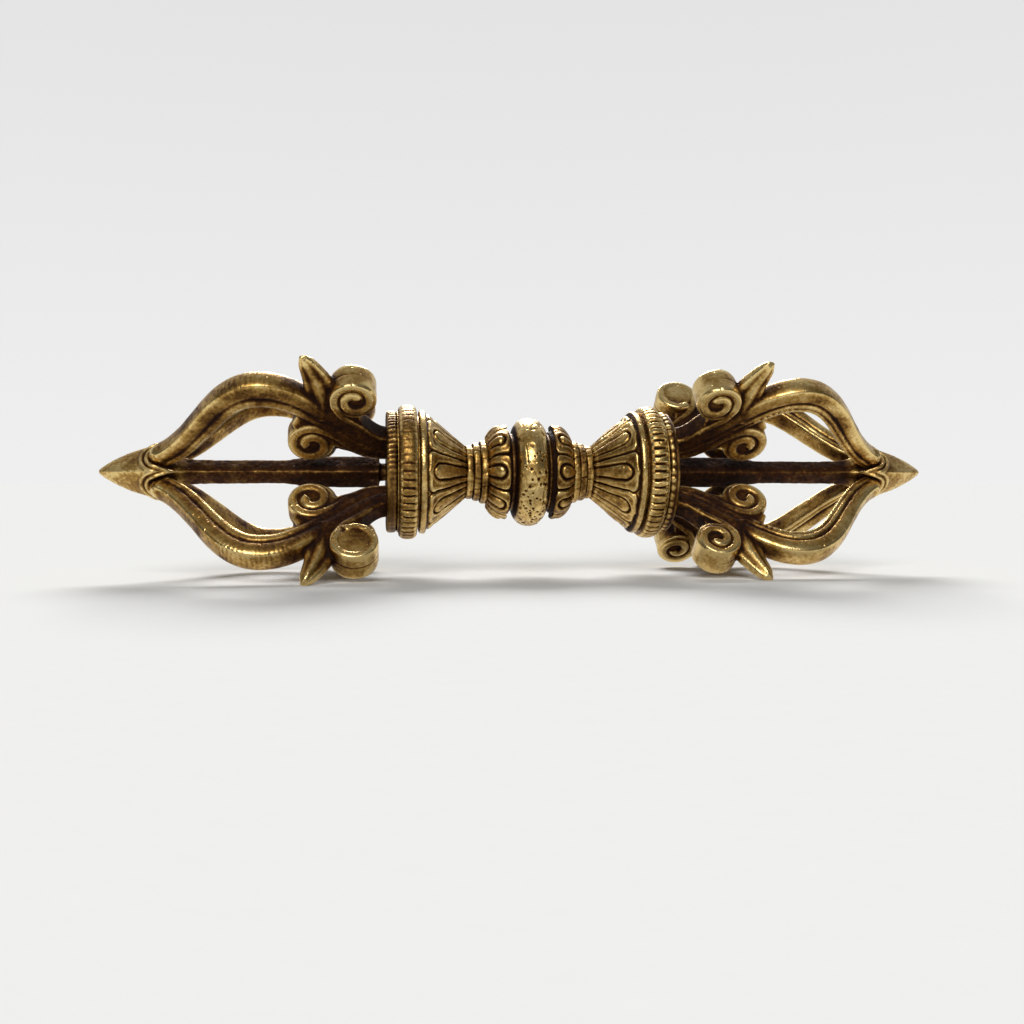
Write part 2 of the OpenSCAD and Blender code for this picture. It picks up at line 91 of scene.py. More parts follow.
def reach(node):
    """How far a CAD node goes along the vajra's axis, in mm."""
    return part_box(node)[1][0] / MM


def half_height(node):
    """Half of a CAD node's height, in mm: the radius of a turned one."""
    low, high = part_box(node)
    return (high[2] - low[2]) / 2 / MM


def to_linear(code):
    """Linear colour of an sRGB hex value."""
    parts = [int(code[i:i + 2], 16) / 255 for i in (1, 3, 5)]
    return [p / 12.92 if p <= 0.04045 else ((p + 0.055) / 1.055) ** 2.4 for p in parts]


def length(name, description, size):
    """A length that a user may change, with its default in mm."""
    return bpy.props.FloatProperty(name=name, description=description, default=size * MM, unit="LENGTH",
                                   precision=5)


def angle(name, description, degrees):
    """An angle that a user may change, with its default in degrees."""
    return bpy.props.FloatProperty(name=name, description=description, default=math.radians(degrees),
                                   subtype="ANGLE")


def colour(name, description, code):
    """A colour that a user may change, with its default as an sRGB hex value."""
    return bpy.props.FloatVectorProperty(name=name, description=description, default=to_linear(code),
                                         subtype="COLOR", min=0, max=1)


def count(name, description, default, least):
    """A number of things that a user may change."""
    return bpy.props.IntProperty(name=name, description=description, default=default, min=least)


class VajraSizes(bpy.types.PropertyGroup):
    """Sizes of the vajra's pieces"""
    axis_height: length("Axis height", "Height of the axis over the table", CAD_HIGH[2] / 2 / MM)
    tip: length("Tip", "Middle of the vajra to its tip", CAD_HIGH[0] / MM)
    hub_end: length("Hub end", "Middle of the vajra to the end of the hub", reach("hub"))
    hub_radius: length("Hub radius", "Largest radius of the hub", half_height("hub"))
    hub_waist: length("Hub waist", "Radius of the groove beside the hub", 5.9)
    hub_half: length("Hub half width", "Half of the width of the fat ring", 2.5)
    collar_end: length("Collar end", "Middle of the vajra to the collar's end", reach("right_lotus_collar"))
    collar_radius: length("Collar radius", "Largest radius of the collar", half_height("right_lotus_collar"))
    collar_foot: length("Collar foot", "Radius of the collar where it meets the neck", 5.3)
    collar_lip: length("Collar lip", "Width of the turned tips of the collar's petals", 0.7)
    collar_bulge: length("Collar bulge", "Bulge of the collar's petals over a straight slope", 0.45)
    neck_end: length("Neck end", "Middle of the vajra to the end of the neck", reach("right_neck_ring"))
    neck_radius: length("Neck radius", "Radius of the neck's largest ring", half_height("right_neck_ring"))
    neck_small: length("Neck small radius", "Radius of the neck's smallest ring", 4.1)
    neck_groove: length("Neck groove", "Depth between the rings of the neck", 0.4)
    bell_end: length("Bell end", "Middle of the vajra to the back of the bell", reach("right_lotus_bell"))
    bell_mouth: length("Bell mouth", "Middle of the vajra to the mouth of the bell", 15.85)
    bell_radius: length("Bell radius", "Radius of the bell at its mouth", 9)
    bell_neck: length("Bell neck", "Radius of the bell where it meets the neck", 3.8)
    fillet_width: length("Fillet width", "Width of the plain ring behind the petals", 1.05)
    fillet_rise: length("Fillet rise", "Height of the plain ring over the bell", 0.42)
    rim_end: length("Rim end", "Middle of the vajra to the end of the reeded rim", reach("right_reeded_rim"))
    rim_radius: length("Rim radius", "Radius over the reeds", half_height("right_reeded_rim"))
    rim_crown: length("Rim crown", "Rise of the rim's round back over its edges", 0.9)
    rim_cut: length("Rim cut", "Depth between the reeds", 0.36)
    seat_face: length("Seat face", "Middle of the vajra to the prongs' seat", reach("right_prong_seat"))
    seat_radius: length("Seat radius", "Radius of the seat", half_height("right_prong_seat"))
    seat_step: length("Seat step", "Radius of the step behind the rim", 9.2)
    step_length: length("Step length", "Length of the step behind the rim", 0.25)
    bar_half: length("Bar half", "Middle of the centre prong's bar to its edges", 1.8)
    foot_half: length("Foot half", "Middle of the centre prong's foot to its edges", 2.3)
    foot_length: length("Foot length", "Length of the stout foot of the centre prong", 9.5)
    point_half: length("Point half", "Middle of the four sided point to its edges", 4.1)
    point_mid: length("Point middle", "Middle of the point to its edges half way to the tip", 2.75)
    point_length: length("Point length", "Length of the four sided point", 8.8)
    flare_length: length("Flare length", "Length of the flare behind the point", 3.9)
    root_radius: length("Root radius", "Axis to the middle of a scroll prong's root", 6.2)
    joint_run: length("Joint run", "Seat to the joint of leaf and arm", 9.2)
    joint_radius: length("Joint radius", "Axis to the joint of leaf and arm", 12.2)
    arch_run: length("Arch run", "Seat to the top of the arm's arch", 17.7)
    arch_radius: length("Arch radius", "Axis to the middle of the arm at its arch", 16.2)
    arm_back: length("Arm back", "Base of the point back to the arm's end", 0.6)
    arm_end_radius: length("Arm end radius", "Axis to the middle of the arm's end", 3.3)
    scroll_radius: length("Scroll radius", "Radius of the outer scroll", 3.6)
    scroll_width: length("Scroll width", "Width of the outer scroll", 4.8)
    scroll_run: length("Scroll run", "Seat to the middle of the outer scroll", 4.6)
    scroll_off: length("Scroll offset", "Axis to the middle of the outer scroll", 15.9)
    curl_radius: length("Curl radius", "Radius of the inner scroll", 3.8)
    curl_width: length("Curl width", "Width of the inner scroll", 3.4)
    curl_run: length("Curl run", "Seat to the middle of the inner scroll", 10.9)
    curl_off: length("Curl offset", "Axis to the middle of the inner scroll", 7)
    leaf_run: length("Leaf run", "Seat to the tip of the leaf", 11.6)
    leaf_half: length("Leaf half", "Half of the leaf's width at its root", 3.7)
    grain: length("Grain", "Spacing of the points of the cast pieces' skin", 0.145)
    bell_petals: count("Bell petals", "Petals round a bell", 8, 3)
    collar_petals: count("Collar petals", "Petals round a collar", 8, 3)
    rim_reeds: count("Rim reeds", "Reeds round a rim", 52, 8)


class VajraFinish(bpy.types.PropertyGroup):
    """Colours of the vajra's brass"""
    rubbed: colour("Rubbed brass", "Edges that hands have rubbed bright", "#E6C988")
    gold: colour("Gold brass", "Clean faces", "#B08B4A")
    olive: colour("Olive brass", "Faces with a thin tarnish", "#76562C")
    brown: colour("Brown tarnish", "Thick tarnish", "#47280F")
    hollow: colour("Dirt", "Dirt and old wax in the hollows", "#1F0C04")
    plum: colour("Plum tarnish", "Heat tarnish of seats and bars", "#4A2D1B")
    polish: bpy.props.FloatProperty(name="Polish", description="Roughness of the rubbed brass", default=0.26,
                                    min=0, max=1, subtype="FACTOR")


class VajraStage(bpy.types.PropertyGroup):
    """Paper and camera"""
    paper: colour("Paper", "White paper under the vajra", "#EAEAE8")
    camera_yaw: angle("Camera yaw", "Turn of the camera round the vajra", -7.28)
    camera_rise: angle("Camera rise", "Angle of the camera over the table", 1.5)
    camera_distance: length("Camera distance", "Camera to the point that it aims at", 174.16)
    camera_aim_x: length("Camera aim", "Place along the axis that the camera aims at", -2.44)
    camera_drop: length("Camera drop", "Height of the axis over the point that the camera aims at", 6.15)
    camera_lens: bpy.props.FloatProperty(name="Camera lens", description="Focal length of the camera in mm",
                                         default=39.62, min=1)


def in_mm(sizes):
    """The sizes as plain numbers, lengths in millimetres."""
    plain = SimpleNamespace()
    for name, kind in sizes.bl_rna.properties.items():
        if kind.type in {"FLOAT", "INT"}:
            value = getattr(sizes, name)
            setattr(plain, name, value / MM if kind.type == "FLOAT" else value)
    return plain


# Shapes of numbers

def ease(low, high, values):
    """Runs smoothly from 0 at low to 1 at high."""
    t = np.clip((np.asarray(values, float) - low) / (high - low), 0, 1)
    return t * t * (3 - 2 * t)


def line(values, width):
    """1 in the middle of a line of that half width, falling softly to 0 beside it."""
    return np.exp(-(values / width) ** 2)


def lumps(points, size, seed):
    """Uneven smooth noise from -1 to 1, with lumps of that size in mm."""
    cell = points / size + 19.7 * seed
    low = np.floor(cell).astype(np.int64)
    part = ease(0, 1, cell - low)
    total = np.zeros(len(points))
    for corner in np.ndindex(2, 2, 2):
        # A hash of the corner's cell gives its height
        key = (low + corner) @ np.array([73856093, 19349663, 83492791])
        key = (key ^ (key >> 13)) * 1274126177
        key ^= key >> 16
        weight = np.prod(np.where(corner, part, 1 - part), axis=1)
        total += weight * ((key & 0xFFFF) / 32767.5 - 1)
    return total


def smooth_rows(rows, steps):
    """Rows of numbers that run smoothly through the given rows, with that many steps between two."""
    rows = np.array(rows, float)
    grown = np.vstack([2 * rows[0] - rows[1], rows, 2 * rows[-1] - rows[-2]])
    t = np.linspace(0, 1, steps, endpoint=False)[:, None]
    runs = [0.5 * (2 * b + (c - a) * t + (2 * a - 5 * b + 4 * c - d) * t ** 2 + (3 * b - a - 3 * c + d) * t ** 3)
            for a, b, c, d in zip(grown, grown[1:], grown[2:], grown[3:])]
    return np.vstack(runs + [rows[-1:]])


def bezier_rows(a, b, c, d, steps):
    """Points of a cubic curve, its last one left out."""
    t = np.linspace(0, 1, steps, endpoint=False)[:, None]
    a, b, c, d = (np.array(p, float) for p in (a, b, c, d))
    return a * (1 - t) ** 3 + 3 * b * t * (1 - t) ** 2 + 3 * c * t ** 2 * (1 - t) + d * t ** 3


def smooth_loop(corners, steps):
    """Points of a closed outline that runs smoothly through its corners."""
    wrapped = smooth_rows(corners[-2:] + corners + corners[:2], steps)
    return wrapped[2 * steps:(2 + len(corners)) * steps]


def mirrored(half):
    """Closed outline of corners from the top to the bottom and of the same on the other side."""
    return half + [(u, -v) for u, v in half[-2:0:-1]]


def ways_of(path):
    """Unit directions along a plane path."""
    ways = np.gradient(path, axis=0)
    return ways / np.linalg.norm(ways, axis=1, keepdims=True)


def oval(steps, power):
    """Outline of a rounded section: power 2 is round, 4 nearly square, 1 a diamond."""
    turn = np.linspace(0, math.tau, steps, endpoint=False)
    u, v = np.cos(turn), np.sin(turn)
    return np.column_stack([np.sign(u) * np.abs(u) ** (2 / power), np.sign(v) * np.abs(v) ** (2 / power)])


def crown(steps, power):
    """Upper half of a rounded section, as places from -1 to 1 and heights from 0 to 1."""
    return [(-u, max(v, 0)) for u, v in oval(2 * steps, power)[:steps + 1]]


# Making skins

def skin_of(bm):
    """The mesh of a finished bmesh."""
    skin = bpy.data.meshes.new("skin")
    bm.to_mesh(skin)
    bm.free()
    return skin


def only_verts(geom):
    """The points among the things that a bmesh operator has made."""
    return [v for v in geom if isinstance(v, bmesh.types.BMVert)]


def turn_on_lathe(profile, steps, fine):
    """A closed round skin, turned about the X axis from rows of distance along it and radius."""
    bm = bmesh.new()
    rows = [(profile[0][0], 0), *profile, (profile[-1][0], 0)]
    row = [bm.verts.new((x, 0, r)) for x, r in rows]
    edges = [bm.edges.new(pair) for pair in zip(row, row[1:])]
    for edge in edges[1:-1]:
        cuts = int(edge.calc_length() / fine)
        if cuts:
            bmesh.ops.subdivide_edges(bm, edges=[edge], cuts=cuts)
    # One eighth is spun and then doubled three times, which is much quicker than a full spin
    bmesh.ops.spin(bm, geom=bm.verts[:] + bm.edges[:], cent=(0, 0, 0), axis=(1, 0, 0), angle=math.tau / 8,
                   steps=steps // 8)
    for turn in (math.tau / 8, math.tau / 4, math.tau / 2):
        copied = bmesh.ops.duplicate(bm, geom=bm.verts[:] + bm.edges[:] + bm.faces[:])["geom"]
        bmesh.ops.rotate(bm, cent=(0, 0, 0), matrix=Matrix.Rotation(turn, 3, "X"), verts=only_verts(copied))
    bmesh.ops.remove_doubles(bm, verts=bm.verts, dist=1e-3)
    bmesh.ops.recalc_face_normals(bm, faces=bm.faces)
    return skin_of(bm)


def turn_outwards(bm, verts):
    """Turns the normals of a closed shell outwards."""
    bmesh.ops.recalc_face_normals(bm, faces=list({f for v in verts for f in v.link_faces}))


def draw_bar(bm, rows, section):
    """A closed bar drawn along a plane path. Each row is x, radius, half height in the plane and half width
    across it."""
    rows = np.asarray(rows, float)
    frames = [Matrix(((wx, 0, -wz * tall, x), (0, wide, 0, 0), (wz, 0, wx * tall, z), (0, 0, 0, 1)))
              for (x, z, tall, wide), (wx, wz) in zip(rows, ways_of(rows[:, :2]))]
    ring = [bm.verts.new((0, v, u)) for u, v in section]
    edges = [bm.edges.new((a, b)) for a, b in zip(ring, ring[1:] + ring[:1])]
    made = list(ring)
    bmesh.ops.transform(bm, matrix=frames[0], verts=ring)
    bmesh.ops.edgeloop_fill(bm, edges=edges)
    for before, after in zip(frames, frames[1:]):
        grown = bmesh.ops.extrude_edge_only(bm, edges=edges)["geom"]
        ring = only_verts(grown)
        fresh = set(ring)
        edges = [e for e in grown if isinstance(e, bmesh.types.BMEdge) and fresh.issuperset(e.verts)]
        bmesh.ops.transform(bm, matrix=after @ before.inverted(), verts=ring)
        made += ring
    bmesh.ops.edgeloop_fill(bm, edges=edges)
    turn_outwards(bm, made)


def cut_plate(bm, outline, half):
    """A closed plate of an outline in the prong's plane, of that half width across it."""
    face = bm.faces.new([bm.verts.new((x, -half, z)) for x, z in outline])
    verts = only_verts(bmesh.ops.extrude_face_region(bm, geom=[face])["geom"])
    bmesh.ops.translate(bm, vec=(0, 2 * half, 0), verts=verts)
    turn_outwards(bm, list(face.verts) + verts)


def add_drum(bm, x, z, radius, half):
    """A drum across the prong's plane with a softened edge."""
    place = Matrix.Translation((x, 0, z)) @ Matrix.Rotation(math.pi / 2, 4, "X")
    made = bmesh.ops.create_cone(bm, cap_ends=True, segments=64, radius1=radius, radius2=radius, depth=2 * half,
                                 matrix=place)["verts"]
    rims = {e for v in made for e in v.link_edges if abs(e.verts[0].co.y - e.verts[1].co.y) < 1e-4}
    bmesh.ops.bevel(bm, geom=list(rims), offset=0.2, offset_type="OFFSET", segments=2, profile=0.5,
                    affect="EDGES", material=-1)


def add_bead(bm, x, y, z, radius, squash=1.0):
    """A bead, longer or shorter across the prong's plane."""
    bmesh.ops.create_icosphere(bm, subdivisions=2, radius=radius,
                               matrix=Matrix.Translation((x, y, z)) @ Matrix.Diagonal((1, squash, 1, 1)))


def fuse(bm, grain):
    """Runs closed shells that overlap together into one skin and smooths the steps of its grain."""
    shells = skin_of(bm)
    holder = bpy.data.objects.new("shells", shells)
    bpy.context.scene.collection.objects.link(holder)
    remesh = holder.modifiers.new("fuse", "REMESH")
    remesh.mode = "VOXEL"
    remesh.voxel_size = grain
    graph = bpy.context.evaluated_depsgraph_get()
    skin = bpy.data.meshes.new_from_object(holder.evaluated_get(graph))
    bpy.data.objects.remove(holder)
    bpy.data.meshes.remove(shells)
    set_points(skin, softened(points_of(skin), edges_of(skin), 2, 0.5))
    return skin


# Working skins

def rows_of(items, name, width, kind=np.float32):
    """Numbers of a mesh's points or edges, as rows of that width."""
    rows = np.empty(len(items) * width, kind)
    items.foreach_get(name, rows)
    return rows.reshape(-1, width)


def points_of(skin):
    """Points of a mesh."""
    return rows_of(skin.vertices, "co", 3).astype(float)


def normals_of(skin):
    """Normals at the points of a mesh."""
    return rows_of(skin.vertex_normals, "vector", 3).astype(float)


def edges_of(skin):
    """Pairs of neighbouring points."""
    return rows_of(skin.edges, "vertices", 2, np.int32)


def round_places(skin):
    """Points of a turned skin, and their distance along the axis, radius and turn from the front."""
    points = points_of(skin)
    x, y, z = points.T
    return points, x, np.hypot(y, z), np.arctan2(z, -y)


def set_points(skin, points):
    """Moves a mesh's points."""
    skin.vertices.foreach_set("co", points.astype(np.float32).ravel())
    skin.update()


def carve(skin, relief, rough, seed):
    """Works a relief into a skin and leaves the small unevenness of a cast and chased surface."""
    points = points_of(skin)
    uneven = rough * (lumps(points, 2.6, seed) + 0.6 * lumps(points, 0.9, seed + 1))
    set_points(skin, points + normals_of(skin) * (relief + uneven)[:, None])


def softened(values, pairs, rounds, amount=1.0):
    """Values of the points, evened out with their neighbours' in rounds."""
    size = len(values)
    neighbours = np.bincount(pairs.ravel(), minlength=size).astype(float)
    soft = values.astype(float)
    columns = soft.reshape(size, -1)
    for _ in range(rounds):
        for k in range(columns.shape[1]):
            column = columns[:, k]
            near = (np.bincount(pairs[:, 0], column[pairs[:, 1]], size)
                    + np.bincount(pairs[:, 1], column[pairs[:, 0]], size)) / neighbours
            columns[:, k] = column + amount * (near - column)
    return soft


def ridges(skin, rounds):
    """How far each point stands over its surroundings, in mm: hollows are below 0."""
    points = points_of(skin)
    return ((points - softened(points, edges_of(skin), rounds)) * normals_of(skin)).sum(1)


def rubbed(skin, base, fine=2.6, broad=2.0):
    """Wear from how each point stands out: edges are rubbed bright and hollows keep their dirt."""
    close, wide = np.clip(ridges(skin, 3), -0.12, 0.09), np.clip(ridges(skin, 34), -0.4, 0.2)
    return base + fine * close + broad * wide


def open_share(skin, nodes, far, turn=0):
    """Share of the sky over each point that neither the skin nor these CAD nodes shut out. The nodes are turned
    back about the axis by that many degrees, to where the skin is made."""
    place = (Matrix.Rotation(math.radians(-turn), 4, "X") @ Matrix.Scale(1 / MM, 4)
             @ Matrix.Translation((0, 0, -bpy.context.scene.vajra_sizes.axis_height)))
    corners, faces = [], []
    for mesh, move in [(skin, Matrix())] + [(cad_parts[node].data, place) for node in nodes]:
        first = len(corners)
        corners += [move @ v.co for v in mesh.vertices]
        faces += [[first + i for i in p.vertices] for p in mesh.polygons]
    tree = BVHTree.FromPolygons(corners, faces)
    points, normals = points_of(skin), normals_of(skin)
    # Twelve rays over each third point, spread evenly over its sky, and evened out to the points between
    rays, every, lift, rounds = 12, 3, 0.3, 8
    spin = np.arange(rays) * math.pi * (3 - math.sqrt(5))
    rise = np.sqrt(1 - (np.arange(rays) + 0.5) / rays)
    flat = np.sqrt(1 - rise ** 2)
    ways = np.column_stack([flat * np.cos(spin), flat * np.sin(spin), rise]).tolist()
    found, looked = np.zeros(len(points)), np.zeros(len(points))
    for i in range(0, len(points), every):
        up = Vector(normals[i])
        start = Vector(points[i]) + up * lift
        side = up.orthogonal().normalized()
        other = up.cross(side)
        found[i] = sum(tree.ray_cast(start, side * a + other * b + up * c, far)[0] is None
                       for a, b, c in ways) / rays
        looked[i] = 1
    pairs = edges_of(skin)
    return softened(found, pairs, rounds) / np.maximum(softened(looked, pairs, rounds), 1e-6)


def set_wear_and_shade(skin, wear):
    """Writes the wear and painted shade of each point on the mesh."""
    kept = skin.attributes.get(WEAR_AND_SHADE) or skin.attributes.new(WEAR_AND_SHADE, "FLOAT", "POINT")
    kept.data.foreach_set("value", np.clip(wear, 0, 1).astype(np.float32))


def place_piece(skin, node, slot, side=1, turn=0):
    """Puts a finished skin on its end of the vajra, in place of its CAD node."""
    axis_height = bpy.context.scene.vajra_sizes.axis_height
    skin.transform(Matrix.Translation((0, 0, axis_height)) @ Matrix.Diagonal((side, 1, 1, 1))
                   @ Matrix.Rotation(math.radians(turn), 4, "X") @ Matrix.Scale(MM, 4))
    if side < 0:
        skin.flip_normals()
    skin.name = node + "_brass"
    skin.shade_smooth()
    skin.materials.clear()
    skin.materials.append(FINISHES[slot]())
    piece = bpy.data.objects.new(node + "_brass", skin)
    bpy.context.scene.collection.objects.link(piece)
    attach(piece, "root")
    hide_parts(node)


def turn_both(name, slot, profile, steps, fine, work):
    """Turns a skin for each end of the vajra, lets work carve it and give its wear and painted shade, and puts it
    in place.
    """
    for end, side in SIDES.items():
        skin = turn_on_lathe(profile, steps, fine)
        set_wear_and_shade(skin, work(skin, side, *round_places(skin)))
        place_piece(skin, f"{end}_{name}", slot, side)


def in_petal(turn, radius, petals):
    """Distance of each point from the middle line of its petal, and the petal's half width there, in mm."""
    half = math.pi / petals
    inside = np.mod(turn + half, 2 * half) - half
    return np.abs(inside) * radius, half * radius


# Brass

def empty_tree(owner):
    """The node tree of a material or world, with nothing in it."""
    owner.use_nodes = True
    owner.node_tree.nodes.clear()
    return owner.node_tree


def set_stops(elements, stops):
    """Sets the stops of a colour ramp: place and colour or grey."""
    while len(elements) < len(stops):
        elements.new(0.5)
    for element, (place, tone) in zip(elements, stops):
        element.position = place
        element.color = (*tone, 1) if hasattr(tone, "__len__") else (tone, tone, tone, 1)


def add_node(tree, kind, settings=(), sources=(), **links):
    """Adds a node with its settings, on its sockets where it has one of that name. Sources are linked to its
    first sockets in order, and links to the sockets of their names."""
    node = tree.nodes.new(kind)
    for name, value in dict(settings).items():
        if name == "stops":
            set_stops(node.color_ramp.elements, value)
        elif name in node.inputs:
            node.inputs[name].default_value = value
        else:
            setattr(node, name, value)
    for socket, source in zip(node.inputs, sources):
        tree.links.new(source, socket)
    for name, source in links.items():
        socket = next(s for s in node.inputs if s.enabled and s.name.replace(" ", "_") == name)
        tree.links.new(source, socket)
    return node


def brass(name, stops, roughness):
    """Cast brass, chased by hand and worn by hands. The attribute of wear and painted shade says where the bare
    metal shows and where shade is painted: rubbed edges are bright and smooth, faces have a blotchy thin tarnish,
    hollows hold dark dirt that is dull, and sheltered places and joins are darkened as painted shade."""
    finish = bpy.data.materials.get(name)
    if finish:
        return finish
    finish = bpy.data.materials.new(name)
    tree = empty_tree(finish)
    place = add_node(tree, "ShaderNodeTexCoord").outputs["Object"]
    wear = add_node(tree, "ShaderNodeAttribute", {"attribute_name": WEAR_AND_SHADE}).outputs["Fac"]
    # Blotches of tarnish about 3 mm across and mottling of 0.5 mm: size, detail, roughness, least and most
    uneven = []
    for size, detail, rough, least, most in ((3.0, 4, 0.62, -0.22, 0.2), (0.5, 3, 0.6, -0.2, 0.14)):
        noise = add_node(tree, "ShaderNodeTexNoise",
                         {"Scale": 1 / (size * MM), "Detail": detail, "Roughness": rough}, Vector=place)
        ranged = add_node(tree, "ShaderNodeMapRange",
                          {"From Min": 0.25, "From Max": 0.75, "To Min": least, "To Max": most},
                          Value=noise.outputs["Fac"])
        uneven.append(ranged.outputs["Result"])
    uneven = add_node(tree, "ShaderNodeMath", {"operation": "ADD"}, uneven).outputs[0]
    tone = add_node(tree, "ShaderNodeMath", {"operation": "ADD", "use_clamp": True}, (wear, uneven)).outputs[0]
    # Colour, bareness of the metal and roughness all follow the tone
    bare_stops, dull_stops = [(0.06, 0.2), (0.34, 1.0)], [(0.1, 0.66), (0.45, 0.42), (0.85, roughness)]
    paint, bare, dull = (add_node(tree, "ShaderNodeValToRGB", {"stops": ramp}, Fac=tone).outputs["Color"]
                         for ramp in (stops, bare_stops, dull_stops))
    # Grain of the casting, 0.22 mm, and pits of 0.3 mm that stand about 1.1 mm apart
    grain = add_node(tree, "ShaderNodeTexNoise", {"Scale": 1 / (0.22 * MM), "Detail": 2}, Vector=place)
    cells = add_node(tree, "ShaderNodeTexVoronoi", {"Scale": 1 / (1.1 * MM)}, Vector=place)
    pits = add_node(tree, "ShaderNodeMapRange", {"From Min": 0.08, "From Max": 0.22},
                    Value=cells.outputs["Distance"])
    grainy = add_node(tree, "ShaderNodeBump", {"Strength": 0.5, "Distance": 0.05 * MM}, Height=grain.outputs["Fac"])
    pitted = add_node(tree, "ShaderNodeBump", {"Strength": 0.45, "Distance": 0.12 * MM},
                      Height=pits.outputs["Result"], Normal=grainy.outputs["Normal"])
    shader = add_node(tree, "ShaderNodeBsdfPrincipled", {"Specular IOR Level": 0.12}, Base_Color=paint,
                      Metallic=bare, Roughness=dull, Normal=pitted.outputs["Normal"])
    add_node(tree, "ShaderNodeOutputMaterial", Surface=shader.outputs["BSDF"])
    return finish


def aged_brass():
    """Brass that shows gold on all that hands touch."""
    f = bpy.context.scene.vajra_finish
    return brass("worn_cast_brass", [(0.04, f.hollow), (0.24, f.brown), (0.43, f.olive), (0.64, f.gold),
                                     (0.92, f.rubbed)], f.polish)


def dark_brass():
    """Brass with a plum brown tarnish that only its edges have lost."""
    f = bpy.context.scene.vajra_finish
    return brass("tarnished_brass", [(0.06, f.hollow), (0.34, f.plum), (0.6, f.olive), (0.82, f.gold),
                                     (1.0, f.rubbed)], f.polish + 0.12)


FINISHES = {"aged_brass": aged_brass, "dark_brass": dark_brass}


# Pieces, from the middle outwards. Reliefs and widths of carved lines are in mm.

class MakeHub(bpy.types.Operator):
    """Turns the fat ring in the middle, dented and pitted by use"""
    bl_idname = "vajra.make_hub"
    bl_label = "Hub"

    def execute(self, context):
        s = in_mm(context.scene.vajra_sizes)
        arc = [(s.hub_half * u, s.hub_waist + (s.hub_radius - s.hub_waist) * v) for u, v in crown(48, 2.1)]
        skin = turn_on_lathe([(-s.hub_end, s.hub_waist), *arc, (s.hub_end, s.hub_waist)], steps=320, fine=0.15)
        points, x, r, turn = round_places(skin)
        aside = np.abs(x) / s.hub_half
        band = 1 - ease(0.75, 1.0, aside)
        swell, dent_deep, scratch_deep, pit_deep = 0.07, 0.1, 0.05, 0.11
        dents = swell * lumps(points, 3.1, 3) - dent_deep * ease(0.35, 0.75, lumps(points, 0.85, 9))
        scratches = scratch_deep * line(lumps(points * (1, 0.35, 0.35), 1.3, 5), 0.06)
        pits = self.pits(s, x, r, turn)
        carve(skin, (dents - scratches) * band - pit_deep * pits, rough=0.012, seed=1)
        # Painted shade, with dirt: the hub darkens down its sides into the grooves beside it
        set_wear_and_shade(skin, rubbed(skin, 0.7) - 0.95 * ease(0.8, 1.0, aside) - 0.36 * pits)
        place_piece(skin, "hub", "aged_brass")
        return {"FINISHED"}

    def pits(self, s, x, r, turn):
        """Casting pits, 1 in the middle of each, most of them on the lower half."""
        chance = np.random.default_rng(4)
        pits, spread, bottom = 150, 1.0, -math.pi / 2
        places = zip(chance.uniform(-0.75, 0.75, pits) * s.hub_half, chance.normal(bottom, spread, pits),
                     chance.uniform(0.12, 0.34, pits))
        deep = np.zeros(len(x))
        for pit_x, pit_turn, pit_r in places:
            around = np.abs(np.mod(turn - pit_turn + math.pi, math.tau) - math.pi) * r
            deep = np.maximum(deep, ease(pit_r, pit_r * 0.45, np.hypot(x - pit_x, around)))
        return deep


class MakeLotusCollars(bpy.types.Operator):
    """Turns and carves the two short rings of petals beside the hub"""
    bl_idname = "vajra.make_lotus_collars"
    bl_label = "Lotus collars"

    def execute(self, context):
        s = in_mm(context.scene.vajra_sizes)
        lip_x = s.hub_end + s.collar_lip
        long, fall = s.collar_end - lip_x, s.collar_foot - s.collar_radius
        slant = math.hypot(long, fall)
        lip = [(s.hub_end, s.collar_radius - s.collar_lip * 1.7),
               (s.hub_end + 0.1, s.collar_radius - s.collar_lip * 0.7),
               (s.hub_end + 0.4, s.collar_radius - 0.1), (lip_x, s.collar_radius)]
        bulge = [(lip_x + long * t + s.collar_bulge * 2.3 * t * (1 - t),
                  s.collar_radius + fall * t + s.collar_bulge * 3.4 * t * (1 - t)) for t in (0.25, 0.5, 0.75)]
        profile = smooth_rows([*lip, *bulge, (s.collar_end, s.collar_foot)], 6).tolist()
        egg_half, egg_from, tip_wide, tip_long, tip_r = 1.05, 1.55, 1.3, 0.85, 1.1
        seam_deep, groove_deep, notch_deep, egg_rise, border_rise = 0.48, 0.36, 0.55, 0.24, 0.1
        flat_end = lip[0][1] + 0.05

        def petals(skin, side, points, x, r, turn):
            turn = turn + 0.03 * lumps(points, 1.5, 4 + side)
            aside, half = in_petal(turn, r, s.collar_petals)
            run = (x - lip_x) / long * slant
            egg = np.where(run < egg_from, np.hypot(aside, (run - egg_from) * 0.95), aside)
            over = egg - egg_half * (1 - 0.16 * np.clip(run - egg_from, 0, None))
            face = ease(-0.45, 0.15, run)
            # The tips of the petals are rounded, with deep notches between them on the hub's side
            tip = np.hypot(np.clip(aside - half + tip_wide, 0, None), np.clip(tip_long - run, 0, None)) - tip_r
            relief = (-seam_deep * line(half - aside, 0.22) - groove_deep * line(over, 0.2) * face
                      + egg_rise * ease(0.1, -0.8, over) * face + border_rise * line(over - 0.5, 0.3) * face
                      - notch_deep * ease(0.0, 0.5, tip))
            # The end that meets the hub stays flat
            relief *= ease(flat_end, flat_end + 0.5, r + 2 * np.clip(x - s.hub_end - 0.05, 0, None))
            carve(skin, relief, rough=0.02, seed=11 + side)
            # Painted shade, with dirt: darker at the joins with the hub and the neck
            seams = line(x - s.hub_end, 0.5) + 0.6 * line(x - s.collar_end, 0.25)
            return rubbed(skin, 0.42) - 0.8 * seams

        turn_both("lotus_collar", "aged_brass", profile, steps=432, fine=0.12, work=petals)
        return {"FINISHED"}


